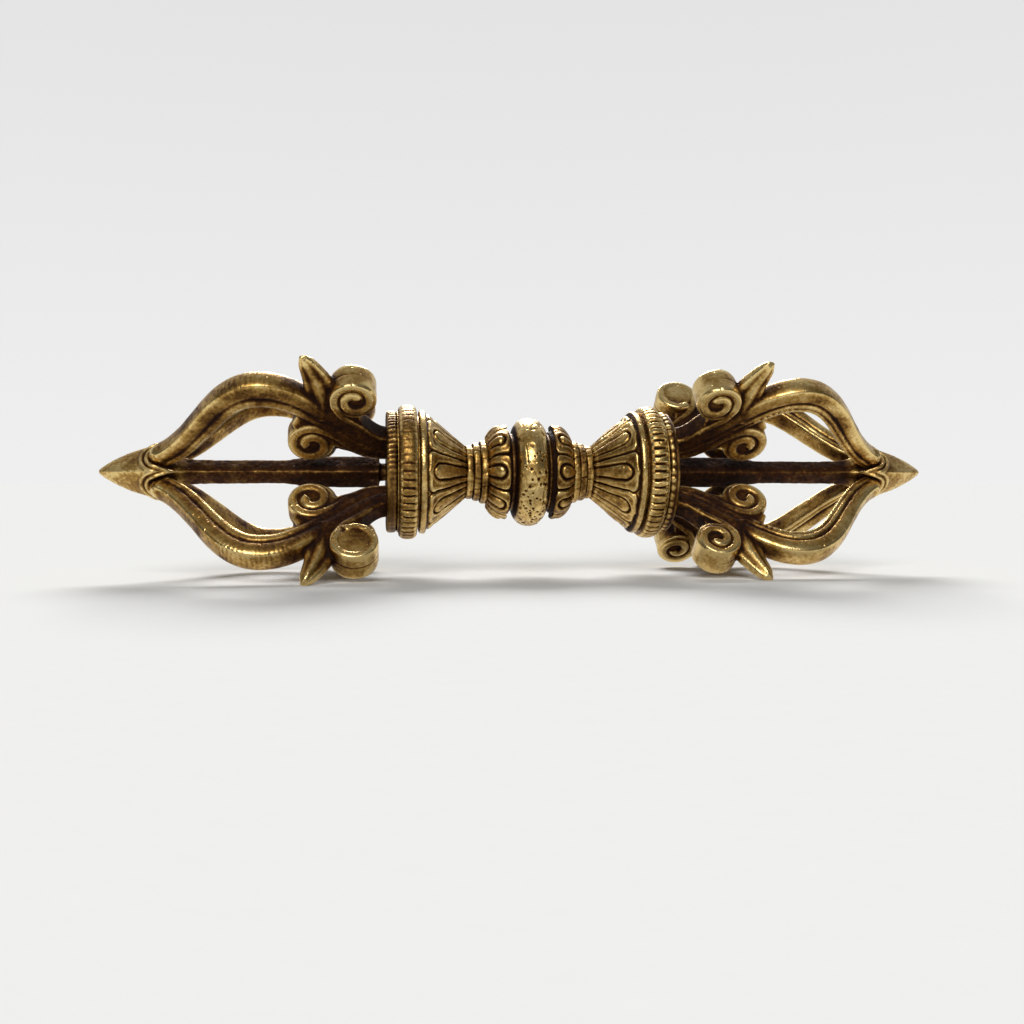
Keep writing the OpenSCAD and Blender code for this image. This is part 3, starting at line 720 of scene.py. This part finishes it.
class MakeNeckRings(bpy.types.Operator):
    """Turns the two necks of three rings, chased with cross marks"""
    bl_idname = "vajra.make_neck_rings"
    bl_label = "Neck rings"

    def execute(self, context):
        s = in_mm(context.scene.vajra_sizes)
        rings, marks, mark_deep, dent_deep = 3, 13, 0.13, 0.11
        pitch = (s.neck_end - s.collar_end) / rings
        profile = []
        for ring in range(rings):
            radius = s.neck_radius + (s.neck_small - s.neck_radius) * ring / (rings - 1)
            middle = s.collar_end + pitch * (ring + 0.5)
            profile += [(middle + u * pitch / 2, radius - s.neck_groove * (1 - v)) for u, v in crown(14, 3)]

        def cross_marks(skin, side, points, x, r, turn):
            along = (x - s.collar_end) / pitch
            ring = np.clip(along.astype(int), 0, rings - 1)
            at = turn * marks / math.tau + 0.37 * ring + 0.3 * lumps(points, 2.2, 6 + side)
            across = np.abs(at - np.round(at)) * math.tau * r / marks
            on_ring = 1 - ease(0.8, 1.0, np.abs(along - ring - 0.5) * 2)
            depth = mark_deep * (0.6 + 0.7 * lumps(points, 1.6, 7 + side))
            dents = dent_deep * lumps(points, 1.3, 22 + side)
            carve(skin, dents - depth * line(across, 0.17) * on_ring, rough=0.035, seed=21 + side)
            # Painted shade, with dirt: darker in the grooves between the rings
            return rubbed(skin, 0.32) - 0.3 * (1 - on_ring)

        turn_both("neck_ring", "aged_brass", profile, steps=320, fine=0.12, work=cross_marks)
        return {"FINISHED"}


class MakeLotusBells(bpy.types.Operator):
    """Turns the two bells and carves their long petals"""
    bl_idname = "vajra.make_lotus_bells"
    bl_label = "Lotus bells"

    def execute(self, context):
        s = in_mm(context.scene.vajra_sizes)
        long, rise = s.bell_mouth - s.neck_end, s.bell_radius - s.bell_neck
        slant = math.hypot(long, rise)
        fillet, land = s.bell_radius + s.fillet_rise, s.bell_radius - s.fillet_rise
        back = s.bell_mouth + s.fillet_width
        ring = [(s.bell_mouth + s.fillet_width * (0.5 + 0.5 * u), fillet - s.fillet_rise * 1.3 * (1 - v))
                for u, v in crown(12, 2.8)]
        profile = [(s.neck_end, s.bell_neck), (s.bell_mouth - 0.08, s.bell_radius - 0.1), *ring,
                   (back + 0.05, land), (s.bell_end, land)]
        tongue_share, tongue_end, corner_r = 0.42, slant - 2.6, 1.15
        seam_deep, groove_deep, dent_deep, edge_rise, tongue_rise, border_rise = 0.38, 0.34, 0.06, 0.1, 0.16, 0.08
        end_half = tongue_share * math.pi / s.bell_petals * (s.bell_neck + rise * tongue_end / slant)

        def petals(skin, side, points, x, r, turn):
            turn = turn + 0.03 * lumps(points, 2.4, 8) + 0.012 * lumps(points, 0.9, 9)
            aside, half = in_petal(turn, r, s.bell_petals)
            run = (x - s.neck_end) / long * slant
            cone = 1 - ease(slant - 0.25, slant - 0.02, run)
            # A petal runs out to the fillet with rounded corners, and the places between are sunk
            left = slant - 0.32 + 0.22 * line(aside, 0.7) - run
            rounded = np.hypot(np.clip(aside - half + corner_r, 0, None), corner_r - left) - corner_r
            outside = np.where(left < corner_r, rounded, aside - half)
            outside = np.where((left < corner_r) & (aside < half - corner_r), -left, outside)
            over = np.where(run < tongue_end, aside - tongue_share * half,
                            np.hypot(aside, run - tongue_end) - end_half)
            corner = ease(0.0, 0.4, outside) * ease(1.3, 0.7, left)
            relief = cone * (-seam_deep * (line(outside, 0.17) * (1 - corner) + corner)
                             + edge_rise * line(outside + 0.5, 0.35) - groove_deep * line(over, 0.16)
                             + tongue_rise * ease(0.05, -0.75, over) + border_rise * line(over - 0.42, 0.24)
                             + dent_deep * lumps(points, 1.9, 33 + side))
            carve(skin, relief, rough=0.022, seed=31 + side)
            fillet_top = line(x - s.bell_mouth - s.fillet_width / 2, s.fillet_width * 0.45)
            # Painted shade, with dirt: darker at the joins with the neck and the rim, behind the fillet, and
            # towards the neck
            seams = (ease(back - 0.05, back + 0.12, x) + line(x - s.neck_end, 0.3)
                     + 0.7 * line(x - s.bell_mouth, 0.16))
            return rubbed(skin, 0.55) + 0.16 * fillet_top - 0.65 * seams - 0.12 * ease(3.5, 0.5, run)

        turn_both("lotus_bell", "aged_brass", profile, steps=480, fine=0.1, work=petals)
        return {"FINISHED"}


class MakeReededRims(bpy.types.Operator):
    """Turns the two rims and files their reeds"""
    bl_idname = "vajra.make_reeded_rims"
    bl_label = "Reeded rims"

    def execute(self, context):
        s = in_mm(context.scene.vajra_sizes)
        middle, half = (s.bell_end + s.rim_end) / 2, (s.rim_end - s.bell_end) / 2
        profile = [(middle + half * u, s.rim_radius - s.rim_crown * (1 - v)) for u, v in crown(28, 2.3)]

        def reeds(skin, side, points, x, r, turn):
            at = turn * s.rim_reeds / math.tau + 0.13 * lumps(points, 1.4, 12 + side)
            across = np.abs(at - np.round(at)) * 2
            edge = np.abs(x - middle) / half
            # Hands have worn away the reeds on the upper half of the left rim
            kept = 0.95 if side > 0 else 0.12 + 0.6 * ease(0.45, -0.35, np.sin(turn))
            depth = s.rim_cut * kept * (1 + 0.45 * lumps(points, 3.2, 14 + side))
            cuts = (1 - ease(0.0, 0.5, across)) * (1 - ease(0.78, 0.98, edge))
            carve(skin, -depth * cuts, rough=0.02, seed=41 + side)
            # Painted shade, with dirt: darker at the edges, where the rim meets the bell and the seat
            return rubbed(skin, 0.49 if side > 0 else 0.45) - 0.5 * ease(0.8, 1.0, edge)

        turn_both("reeded_rim", "aged_brass", profile, steps=s.rim_reeds * 12, fine=0.12, work=reeds)
        return {"FINISHED"}


class MakeProngSeats(bpy.types.Operator):
    """Turns the two dark seats: slanting reeds on the left one, a row of beads on the right one"""
    bl_idname = "vajra.make_prong_seats"
    bl_label = "Prong seats"

    def execute(self, context):
        s = in_mm(context.scene.vajra_sizes)
        step_end = s.rim_end + s.step_length
        middle, half = (step_end + s.seat_face) / 2, (s.seat_face - step_end) / 2
        edge_rise, middle_r = 0.75, 2.2
        edge = [(middle + half * u, s.seat_radius - edge_rise * (1 - v)) for u, v in crown(20, 3)]
        profile = [(s.rim_end, s.seat_step), (step_end, s.seat_step), *edge, (s.seat_face, middle_r)]
        reeds, beads, bead_r, bead_x, groove_x = 72, 46, 0.52, step_end + 0.45, step_end + 1.05
        reed_rise, bead_rise, groove_deep, dent_deep = 0.1, 0.22, 0.12, 0.06

        def edging(skin, side, points, x, r, turn):
            if side < 0:
                at = turn * reeds / math.tau + (x - middle) * 0.14 + 0.25 * lumps(points, 1.8, 15)
                upper = ease(-0.25, 0.3, np.sin(turn))
                relief = reed_rise * np.cos(math.tau * at) * upper * (0.8 + 0.6 * lumps(points, 2.4, 18))
            else:
                at = turn * beads / math.tau + 0.1 * lumps(points, 1.8, 15)
                across = (at - np.round(at)) * math.tau * r / beads
                bead = np.sqrt(np.clip(1 - (np.hypot(across, x - bead_x) / bead_r) ** 2, 0, 1))
                relief = bead_rise * bead - groove_deep * line(x - groove_x, 0.14)
            outer = ease(s.seat_step - 0.4, s.seat_step + 0.3, r)
            carve(skin, relief * outer + dent_deep * lumps(points, 1.7, 16), rough=0.035, seed=51 + side)
            # Painted shade, with dirt: darker on the step behind the rim
            return rubbed(skin, 0.36, fine=4.0) - 0.3 * ease(step_end + 0.25, step_end - 0.05, x)

        turn_both("prong_seat", "dark_brass", profile, steps=400, fine=0.17, work=edging)
        return {"FINISHED"}


# Scroll prongs, made with the root at the seat and standing up from the axis

def arm_middle(s):
    """Middle line of a scroll prong from its root to the point, and where each point is: 0 root, 1 joint, 2 arch,
    3 end."""
    joint_x, arch_x = s.seat_face + s.joint_run, s.seat_face + s.arch_run
    end_x = s.tip - s.point_length - s.arm_back
    rise, fall, drop = arch_x - joint_x, end_x - arch_x, s.arch_radius - s.arm_end_radius
    runs = [((s.seat_face, s.root_radius), (s.seat_face + s.joint_run * 0.28, s.root_radius),
             (joint_x - s.joint_run * 0.32, s.joint_radius - s.joint_run * 0.25), (joint_x, s.joint_radius)),
            ((joint_x, s.joint_radius), (joint_x + rise * 0.34, s.joint_radius + rise * 0.265),
             (arch_x - rise * 0.36, s.arch_radius), (arch_x, s.arch_radius)),
            ((arch_x, s.arch_radius), (arch_x + fall * 0.44, s.arch_radius),
             (end_x - fall * 0.42, s.arm_end_radius + drop * 0.25), (end_x, s.arm_end_radius))]
    steps = (22, 20, 44)
    path = np.vstack([bezier_rows(*run, n) for run, n in zip(runs, steps)] + [[(end_x, s.arm_end_radius)]])
    place = np.concatenate([i + np.arange(n) / n for i, n in enumerate(steps)] + [[3]])
    return path, place


def coil(x, z, radius, last, start, sweep, tall, wide, last_wide):
    """Rows of a ribbon that winds in round a middle, in steps of 15 degrees and slowly at first."""
    steps = int(abs(sweep) / 15) + 1
    t = np.linspace(0, 1, steps)
    turn = np.radians(start + sweep * t)
    r = radius + (last - radius) * t ** 1.2
    return np.column_stack([x + r * np.cos(turn), z + r * np.sin(turn), np.full(steps, tall),
                            wide + (last_wide - wide) * t])


def add_arm(bm, s, beaded):
    """Stem and arm: a broad crowned back, and two slim ridges or a crease on the side of the axis."""
    path, place = arm_middle(s)
    path[0, 0] -= ROOT_DEEP
    # Half sizes at root, joint, arch and end
    talls, wides = (1.75, 1.9, 2.25, 1.6), (1.6, 1.75, 1.9, 1.5)
    arm = np.column_stack([path, np.interp(place, range(4), talls), np.interp(place, range(4), wides)])
    back_half = [(1, 0), (0.97, 0.45), (0.83, 0.87), (0.4, 1), (0.02, 0.97)]
    creased = [(-0.16, 0.88), (-0.28, 0.88), (-0.44, 0.96), (-0.7, 0.94), (-0.93, 0.76), (-1, 0.35), (-1, 0)]
    ridged = [(-0.13, 0.84), (-0.23, 0.84), (-0.36, 0.96), (-0.5, 0.96), (-0.6, 0.86), (-0.67, 0.86),
              (-0.79, 0.92), (-0.94, 0.78), (-1, 0.35), (-1, 0)]
    draw_bar(bm, arm, smooth_loop(mirrored(back_half + (ridged if beaded else creased)), 3))
    end_x, end_z = path[-1]
    add_bead(bm, end_x - 0.1, 0, end_z + 0.2, radius=1.75, squash=0.92)
    return arm, place


def add_scroll(bm, lead, ribbon, x, z, radius, half):
    """A strand that leads from the seat into a wound ribbon, round a drum that its grooves show."""
    rows = smooth_rows(lead + ribbon.tolist(), 3)
    draw_bar(bm, rows, oval(24, 5.5))
    add_drum(bm, x, z, radius - 0.45, half - 0.3)
    return rows


def add_leaf(bm, s, joint_x, leaf_reach):
    """Leaf with a round midrib and a blunt tip, over the joint."""
    tip = (s.seat_face + s.leaf_run, leaf_reach)
    path = np.vstack([bezier_rows((joint_x, s.joint_radius - 0.4), (joint_x - 0.9, s.joint_radius + 4.1),
                                  (joint_x + 1.4, s.joint_radius + 7.4), tip, 16), [tip]])
    t = np.linspace(0, 1, len(path))
    blunt = np.sqrt(1 - 0.75 * ease(0.8, 1.0, t) ** 2)
    rows = np.column_stack([path, s.leaf_half * (0.24 + 0.68 * (1 - t) ** 1.1) * blunt, (1.9 - t) * blunt])
    side = [(1, 0), (0.95, 0.42), (0.75, 0.6), (0.46, 0.62), (0.27, 0.84), (0, 0.98)]
    draw_bar(bm, rows, mirrored(side + [(-u, v) for u, v in side[-2::-1]]))


def add_bead_rows(bm, *strings):
    """Beads on both sides of bars: rows of the bar, first and last row, number, height and width on the bar as
    shares of its half sizes, and radius."""
    for rows, first, last, beads, drop, wide, radius in strings:
        ways = ways_of(rows[:, :2])
        for at in np.linspace(first, last, beads).astype(int):
            (x, z, tall, half), (wx, wz) = rows[at], ways[at]
            for y in (-wide * half, wide * half):
                add_bead(bm, x - wz * tall * drop, y, z + wx * tall * drop, radius)


def cast_prong(s, beaded, worn):
    """One scroll prong. It has beads along its ridges or fine ribs across its back, and its outer scroll may be
    worn to a plain disc."""
    bm = bmesh.new()
    arm, place = add_arm(bm, s, beaded)
    root_x, joint_x = s.seat_face - ROOT_DEEP, s.seat_face + s.joint_run
    # Inner strand, which winds over the inner scroll towards the tip. Leads are rows as for draw_bar.
    curl_x, curl_half, ribbon_half = s.seat_face + s.curl_run, s.curl_width / 2, 0.68
    curl = coil(curl_x, s.curl_off, s.curl_radius - ribbon_half, last=0.64, start=112, sweep=-500,
                tall=ribbon_half, wide=curl_half, last_wide=curl_half)
    lead = [(root_x, 4.7, 0.5, 1.55), (s.seat_face + 2.5, 4.95, 0.5, 1.6), (s.seat_face + 5.2, 6.5, 0.52, 1.62),
            (s.seat_face + 7.4, 8.55, 0.55, 1.66)]
    curl_rows = add_scroll(bm, lead, curl, curl_x, s.curl_off, s.curl_radius, curl_half)
    # Outer strand, which winds over the outer scroll towards the seat
    scroll_x, scroll_half, ribbon_half = s.seat_face + s.scroll_run, s.scroll_width / 2, 0.65
    last, sweep = (2.6, 330) if worn else (0.62, 530)
    scroll = coil(scroll_x, s.scroll_off, s.scroll_radius - ribbon_half, last=last, start=-28, sweep=sweep,
                  tall=ribbon_half, wide=scroll_half, last_wide=scroll_half + 0.1)
    lead = [(root_x, 7.6, 0.5, 1.5), (s.seat_face + 1.6, 8.2, 0.5, 1.6), (s.seat_face + 3.9, 10.5, 0.55, 1.75),
            (s.seat_face + 6.2, 12.5, 0.6, 2.0)]
    scroll_rows = add_scroll(bm, lead, scroll, scroll_x, s.scroll_off, s.scroll_radius, scroll_half)
    if worn:
        add_drum(bm, scroll_x, s.scroll_off, s.scroll_radius - 1.25, scroll_half - 0.08)
    # Leaves stand at 45 degrees, and their tips touch the table
    leaf_reach = math.sqrt(2) * s.axis_height - 0.12
    # Metal between the strands and the scrolls, and a saddle between the scroll and the leaf
    web_half, saddle_half = 1.3, 0.95
    saddle = s.joint_radius + 0.52 * (leaf_reach - s.joint_radius)
    cut_plate(bm, [(root_x, 4.6), (s.seat_face + 4.5, 5.4), (curl_x - 2, s.curl_off),
                   (curl_x + 1.5, s.curl_off + 1), (curl_x + 2.6, s.curl_off + 3.6),
                   (joint_x + 3.4, s.joint_radius + 0.2), (joint_x - 0.4, s.joint_radius + 2.6),
                   (scroll_x + 2.2, s.scroll_off + 0.6), (scroll_x - 0.6, s.scroll_off - 2.2),
                   (scroll_x - 1.2, 10.2), (root_x, 7.7)], web_half)
    cut_plate(bm, [(scroll_x + s.scroll_radius * 0.3, s.scroll_off),
                   (scroll_x + s.scroll_radius * 0.62, s.scroll_off + s.scroll_radius * 0.58),
                   (joint_x - 0.85, saddle), (joint_x, s.joint_radius)], saddle_half)
    add_bead(bm, joint_x - 0.3, 0, s.joint_radius + 1.6, radius=2.6, squash=0.62)
    add_leaf(bm, s, joint_x, leaf_reach)
    if beaded:
        # Along the inner ridge after the joint, along the inner strand and at the foot of the outer one
        add_bead_rows(bm, (arm, 25, 38, 8, -0.66, 0.88, 0.27), (curl_rows, 9, 26, 9, 0.2, 0.9, 0.26),
                      (scroll_rows, 0, 5, 4, -0.1, 0.86, 0.34))
    skin = fuse(bm, s.grain)
    chase_prong(skin, s, 0 if beaded else arm_ribs(points_of(skin), arm[:, :2], place))
    return skin


def arm_ribs(points, middle, place):
    """Relief of the fine ribs across the back of an arm, in patches."""
    flat = points[:, [0, 2]]
    run = np.concatenate([[0], np.cumsum(np.linalg.norm(np.diff(middle, axis=0), axis=1))])
    # The skin is taken in parts to spare memory
    nearest = np.concatenate([((part[:, None] - middle[None]) ** 2).sum(2).argmin(1)
                              for part in np.array_split(flat, 24)])
    ways, at = ways_of(middle)[nearest], place[nearest]
    off = flat - middle[nearest]
    along = run[nearest] + (off * ways).sum(1)
    height = off[:, 1] * ways[:, 0] - off[:, 0] * ways[:, 1]
    back = ease(0.5, 1.4, height) * ease(1.35, 1.8, at) * ease(2.95, 2.7, at)
    near = ease(2.9, 2.5, np.abs(height)) * ease(2.3, 2.1, np.abs(points[:, 1]))
    patch = ease(-0.5, 0.4, lumps(points, 4.5, 17))
    deep, pitch = 0.018, 0.55
    return deep * np.cos(math.tau * (along / pitch + 0.35 * lumps(points, 1.6, 2))) * back * near * patch


def chase_prong(skin, s, ribs):
    """Adds ribs, a line round the drum of the outer scroll and hammered unevenness to a prong. The leaf's tip is
    worn flat where the vajra lies on it."""
    points = points_of(skin)
    x, y, z = points.T
    from_rim = np.hypot(x - s.seat_face - s.scroll_run, z - s.scroll_off) - s.scroll_radius
    drum = ease(-0.5, -0.15, from_rim) * ease(0.6, 0.3, from_rim)
    ring_deep, dent_deep = 0.13, 0.035
    ring = ring_deep * line(y + 0.3 * lumps(points, 3.0, 27), 0.16) * drum
    carve(skin, ribs - ring + dent_deep * lumps(points, 1.8, 61), rough=0.018, seed=62)
    points = points_of(skin)
    for across in (-1, 1):
        plane = np.array([0, across, 1]) / math.sqrt(2)
        beyond = np.clip(points @ plane - s.axis_height, 0, None)
        points -= beyond[:, None] * plane
    set_points(skin, points)


class MakeScrollProngs(bpy.types.Operator):
    """Casts scroll prongs with their scrolls, leaf and arm, and sets four of them on each end"""
    bl_idname = "vajra.make_scroll_prongs"
    bl_label = "Scroll prongs"

    def execute(self, context):
        s = in_mm(context.scene.vajra_sizes)
        for end, side in SIDES.items():
            for worn in (False, True):
                skin = cast_prong(s, end == "right", worn)
                set_wear_and_shade(skin, self.wear(skin, s, end, worn))
                for name, turn in PRONG_TURNS.items():
                    node = f"{end}_prong_{name}"
                    if (node in WORN_PRONGS) == worn:
                        place_piece(skin.copy(), node, "aged_brass", side, turn)
                bpy.data.meshes.remove(skin)
        return {"FINISHED"}

    def wear(self, skin, s, end, worn):
        """Stems are dark, the scrolls are rubbed, what stands in the open is lighter and what is sheltered is
        darker as painted shade, and the rest is patchy.
        """
        points = points_of(skin)
        x, z = points[:, 0] - s.seat_face, points[:, 2]
        stem = ease(18.5, 12.5, z) * ease(15.5, 8, x)
        curl = ease(0.5, -0.5, np.hypot(x - s.curl_run, z - s.curl_off) - s.curl_radius)
        scroll = ease(0.5, -0.5, np.hypot(x - s.scroll_run, z - s.scroll_off) - s.scroll_radius)
        # Painted shade: the share of open sky over each point darkens the sheltered places
        sky = open_share(skin, PRONG_NEIGHBOURS, 7.0, PRONG_TURNS["upper_front"])
        patches = ease(-0.3, 0.6, lumps(points, 2.3, 81))
        base, curl_wear = (0.19, 0.2) if end == "right" else (0.07, 0.36)
        scroll_wear = 0.44 if worn else 0.29
        wear = (rubbed(skin, base, broad=2.6) + 0.45 * sky - 0.4 * stem - 0.22 * patches
                + scroll_wear * scroll + curl_wear * curl)
        return np.maximum(wear, 0.16 * stem)


def forge_centre(s):
    """The centre prong from the seat to its tip: slim neck, stout foot, bar, flare and four sided point."""
    bm = bmesh.new()
    neck_r = 1.35
    foot = s.seat_face + 1.25
    foot_end = foot + s.foot_length
    base = s.tip - s.point_length
    flare = base - s.flare_length
    stations = [(foot, s.foot_half * 0.86), (foot + 0.5, s.foot_half), (foot_end, s.foot_half),
                (foot_end + 4.7, s.bar_half), (flare - 4, s.bar_half), (flare, s.bar_half * 1.15),
                (base - 1.2, s.point_half * 0.84), (base, s.point_half * 0.98), (base + 1.2, s.point_half * 0.93),
                (base + s.point_length * 0.5, s.point_mid), (base + s.point_length * 0.8, s.point_mid * 0.52),
                (base + s.point_length * 0.95, s.point_mid * 0.2), (s.tip - 0.1, s.point_mid * 0.06)]
    draw_bar(bm, smooth_rows([(x, 0, half, half) for x, half in stations], 5), oval(32, 1.2))
    draw_bar(bm, [(s.seat_face - 0.1, 0, neck_r, neck_r), (foot + 0.6, 0, neck_r, neck_r)], oval(24, 2))
    return fuse(bm, s.grain)


class MakeCentreProngs(bpy.types.Operator):
    """Forges the two dark bars with their four sided points and the lips that hold the scroll prongs"""
    bl_idname = "vajra.make_centre_prongs"
    bl_label = "Centre prongs"

    def execute(self, context):
        s = in_mm(context.scene.vajra_sizes)
        skin = forge_centre(s)
        points = points_of(skin)
        x, y, z = points.T
        base = s.tip - s.point_length
        flare = base - s.flare_length
        bar = ease(flare + 1, flare - 1, x)
        forged = 0.07 * lumps(points * (0.6, 1, 1), 1.1, 71) + 0.05 * lumps(points, 0.55, 72)
        # Lips like folds round the end of each scroll prong, with a hollow inside them: radius, half width, rise
        folds, hollow_r, hollow_deep = ((2.15, 0.24, 0.3), (2.9, 0.24, 0.26), (2.53, 0.16, -0.14)), 1.95, 0.3
        aside = np.hypot(y, z) * np.abs(np.sin(np.mod(np.arctan2(z, y), math.pi / 2) - math.pi / 4))
        ahead = x - (base - s.arm_back)
        fold = np.hypot(np.clip(ahead, 0, None), aside)
        face = ease(-2.6, -1.2, ahead)
        lips = (sum(rise * line(fold - radius, width) for radius, width, rise in folds)
                - hollow_deep * ease(hollow_r, 1.5, fold)) * face
        carve(skin, forged * (0.2 + 0.8 * bar) + lips, rough=0.02, seed=73)
        # Painted shade: where the scroll prongs shut out the sky, the bar is darkened
        sky = open_share(skin, [f"right_prong_{name}" for name in PRONG_TURNS], 6.0)
        tip = ease(s.tip - 4.2, s.tip - 1.5, x)
        wear = rubbed(skin, 0.48, broad=1.2) + 0.34 * sky + 0.15 * tip - 0.4 * ease(hollow_r, 1.4, fold) * face
        # The bars are dark with plum tarnish; the right bar is darkened more than the left as painted shade
        for end, side in SIDES.items():
            set_wear_and_shade(skin, wear - (0.54 if end == "right" else 0.4) * bar)
            place_piece(skin.copy(), end + "_centre_prong", "dark_brass", side)
        bpy.data.meshes.remove(skin)
        return {"FINISHED"}


class MakeStage(bpy.types.Operator):
    """Lays white paper under the vajra and sets soft light and the camera"""
    bl_idname = "vajra.make_stage"
    bl_label = "Stage"

    def execute(self, context):
        scene = context.scene
        self.lay_paper(scene)
        self.set_backdrop(scene)
        self.set_lights(scene)
        self.set_camera(scene)
        scene.view_settings.view_transform = "Standard"
        return {"FINISHED"}

    def lay_paper(self, scene):
        bm = bmesh.new()
        bmesh.ops.create_grid(bm, x_segments=1, y_segments=1, size=PAPER_HALF)
        sheet = skin_of(bm)
        sheet.materials.append(self.white_paper(scene.vajra_stage.paper))
        floor = bpy.data.objects.new("paper_sheet", sheet)
        scene.collection.objects.link(floor)

    def white_paper(self, white):
        """White drawing paper: matt, with a faint mottling of its fibres."""
        finish = bpy.data.materials.new("matt_white_paper")
        tree = empty_tree(finish)
        place = add_node(tree, "ShaderNodeTexCoord").outputs["Object"]
        # Mottling of 2 mm
        fibres = add_node(tree, "ShaderNodeTexNoise", {"Scale": 1 / (2.0 * MM), "Detail": 3}, Vector=place)
        stops = [(0.2, [0.985 * part for part in white]), (0.8, white)]
        tone = add_node(tree, "ShaderNodeValToRGB", {"stops": stops}, Fac=fibres.outputs["Fac"])
        shader = add_node(tree, "ShaderNodeBsdfPrincipled", {"Roughness": 1.0, "Specular IOR Level": 0.0},
                          Base_Color=tone.outputs["Color"])
        add_node(tree, "ShaderNodeOutputMaterial", Surface=shader.outputs["BSDF"])
        return finish

    def set_backdrop(self, scene):
        """A dim room, brighter overhead. The camera sees a pale backdrop instead, all round, and the brass
        mirrors the part of it that lies behind."""
        world = bpy.data.worlds.new("studio")
        tree = empty_tree(world)
        way = add_node(tree, "ShaderNodeTexCoord").outputs["Generated"]
        way = add_node(tree, "ShaderNodeSeparateXYZ", Vector=way).outputs
        # Greys by height
        room_greys, backdrop_greys = [(0.0, 0.06), (0.5, 0.1), (1.0, 0.22)], [(0.0, 0.865), (0.4, 0.77)]
        shaders = []
        for greys in (room_greys, backdrop_greys):
            grey = add_node(tree, "ShaderNodeValToRGB", {"stops": greys}, Fac=way["Z"])
            background = add_node(tree, "ShaderNodeBackground", Color=grey.outputs["Color"])
            shaders.append(background.outputs["Background"])
        path = add_node(tree, "ShaderNodeLightPath").outputs
        behind = add_node(tree, "ShaderNodeMapRange", {"From Min": -0.1, "From Max": 0.5, "To Max": 0.8},
                          Value=way["Y"])
        mirrored_part = add_node(tree, "ShaderNodeMath", {"operation": "MULTIPLY"},
                                 (path["Is Glossy Ray"], behind.outputs["Result"]))
        seen_part = add_node(tree, "ShaderNodeMath", {"operation": "MAXIMUM"},
                             (path["Is Camera Ray"], mirrored_part.outputs[0]))
        mixed = add_node(tree, "ShaderNodeMixShader", sources=(seen_part.outputs[0], *shaders))
        add_node(tree, "ShaderNodeOutputWorld", Surface=mixed.outputs["Shader"])
        scene.world = world

    def set_lights(self, scene):
        """A strong soft light from behind and a weaker, softer one from the front."""
        for name, (turn, rise, spread, strength) in LIGHTS.items():
            lamp = bpy.data.lights.new(name, "SUN")
            lamp.angle = math.radians(spread)
            lamp.energy = strength
            light = bpy.data.objects.new(name, lamp)
            light.rotation_euler = (-self.way_to(math.radians(turn), math.radians(rise))).to_track_quat(
                "-Z", "Y").to_euler()
            scene.collection.objects.link(light)

    def set_camera(self, scene):
        stage = scene.vajra_stage
        back = self.way_to(stage.camera_yaw, stage.camera_rise)
        right = Vector((math.cos(stage.camera_yaw), math.sin(stage.camera_yaw), 0))
        aim = Vector((stage.camera_aim_x, 0, scene.vajra_sizes.axis_height - stage.camera_drop))
        lens = bpy.data.cameras.new("camera")
        lens.lens = stage.camera_lens
        lens.sensor_width = 36
        lens.clip_start = 5 * MM
        camera = bpy.data.objects.new("camera", lens)
        camera.matrix_world = (Matrix.Translation(aim + back * stage.camera_distance)
                               @ Matrix((right, back.cross(right), back)).transposed().to_4x4())
        scene.collection.objects.link(camera)
        scene.camera = camera

    def way_to(self, turn, rise):
        """Unit direction from the vajra to a light or the camera, by its turn from the front and its rise."""
        return Vector((math.sin(turn) * math.cos(rise), -math.cos(turn) * math.cos(rise), math.sin(rise)))


MAKERS = (MakeHub, MakeLotusCollars, MakeNeckRings, MakeLotusBells, MakeReededRims, MakeProngSeats,
          MakeCentreProngs, MakeScrollProngs, MakeStage)


class VajraPanel(bpy.types.Panel):
    """Lists the makers and what a user may change"""
    bl_idname = "VIEW3D_PT_vajra"
    bl_label = "Dorje vajra"
    bl_space_type = "VIEW_3D"
    bl_region_type = "UI"
    bl_category = "Vajra"

    def draw(self, context):
        for maker in MAKERS:
            self.layout.operator(maker.bl_idname)
        for group in (context.scene.vajra_sizes, context.scene.vajra_finish, context.scene.vajra_stage):
            box = self.layout.box()
            for name in group.__annotations__:
                box.prop(group, name)


CLASSES = (VajraSizes, VajraFinish, VajraStage, *MAKERS, VajraPanel)


def register():
    for kind in CLASSES:
        bpy.utils.register_class(kind)
    bpy.types.Scene.vajra_sizes = bpy.props.PointerProperty(type=VajraSizes)
    bpy.types.Scene.vajra_finish = bpy.props.PointerProperty(type=VajraFinish)
    bpy.types.Scene.vajra_stage = bpy.props.PointerProperty(type=VajraStage)


def unregister():
    del bpy.types.Scene.vajra_stage
    del bpy.types.Scene.vajra_finish
    del bpy.types.Scene.vajra_sizes
    for kind in reversed(CLASSES):
        bpy.utils.unregister_class(kind)


def main():
    register()
    bpy.ops.vajra.make_hub()
    bpy.ops.vajra.make_lotus_collars()
    bpy.ops.vajra.make_neck_rings()
    bpy.ops.vajra.make_lotus_bells()
    bpy.ops.vajra.make_reeded_rims()
    bpy.ops.vajra.make_prong_seats()
    bpy.ops.vajra.make_centre_prongs()
    bpy.ops.vajra.make_scroll_prongs()
    bpy.ops.vajra.make_stage()


if __name__ == "__main__":
    main()
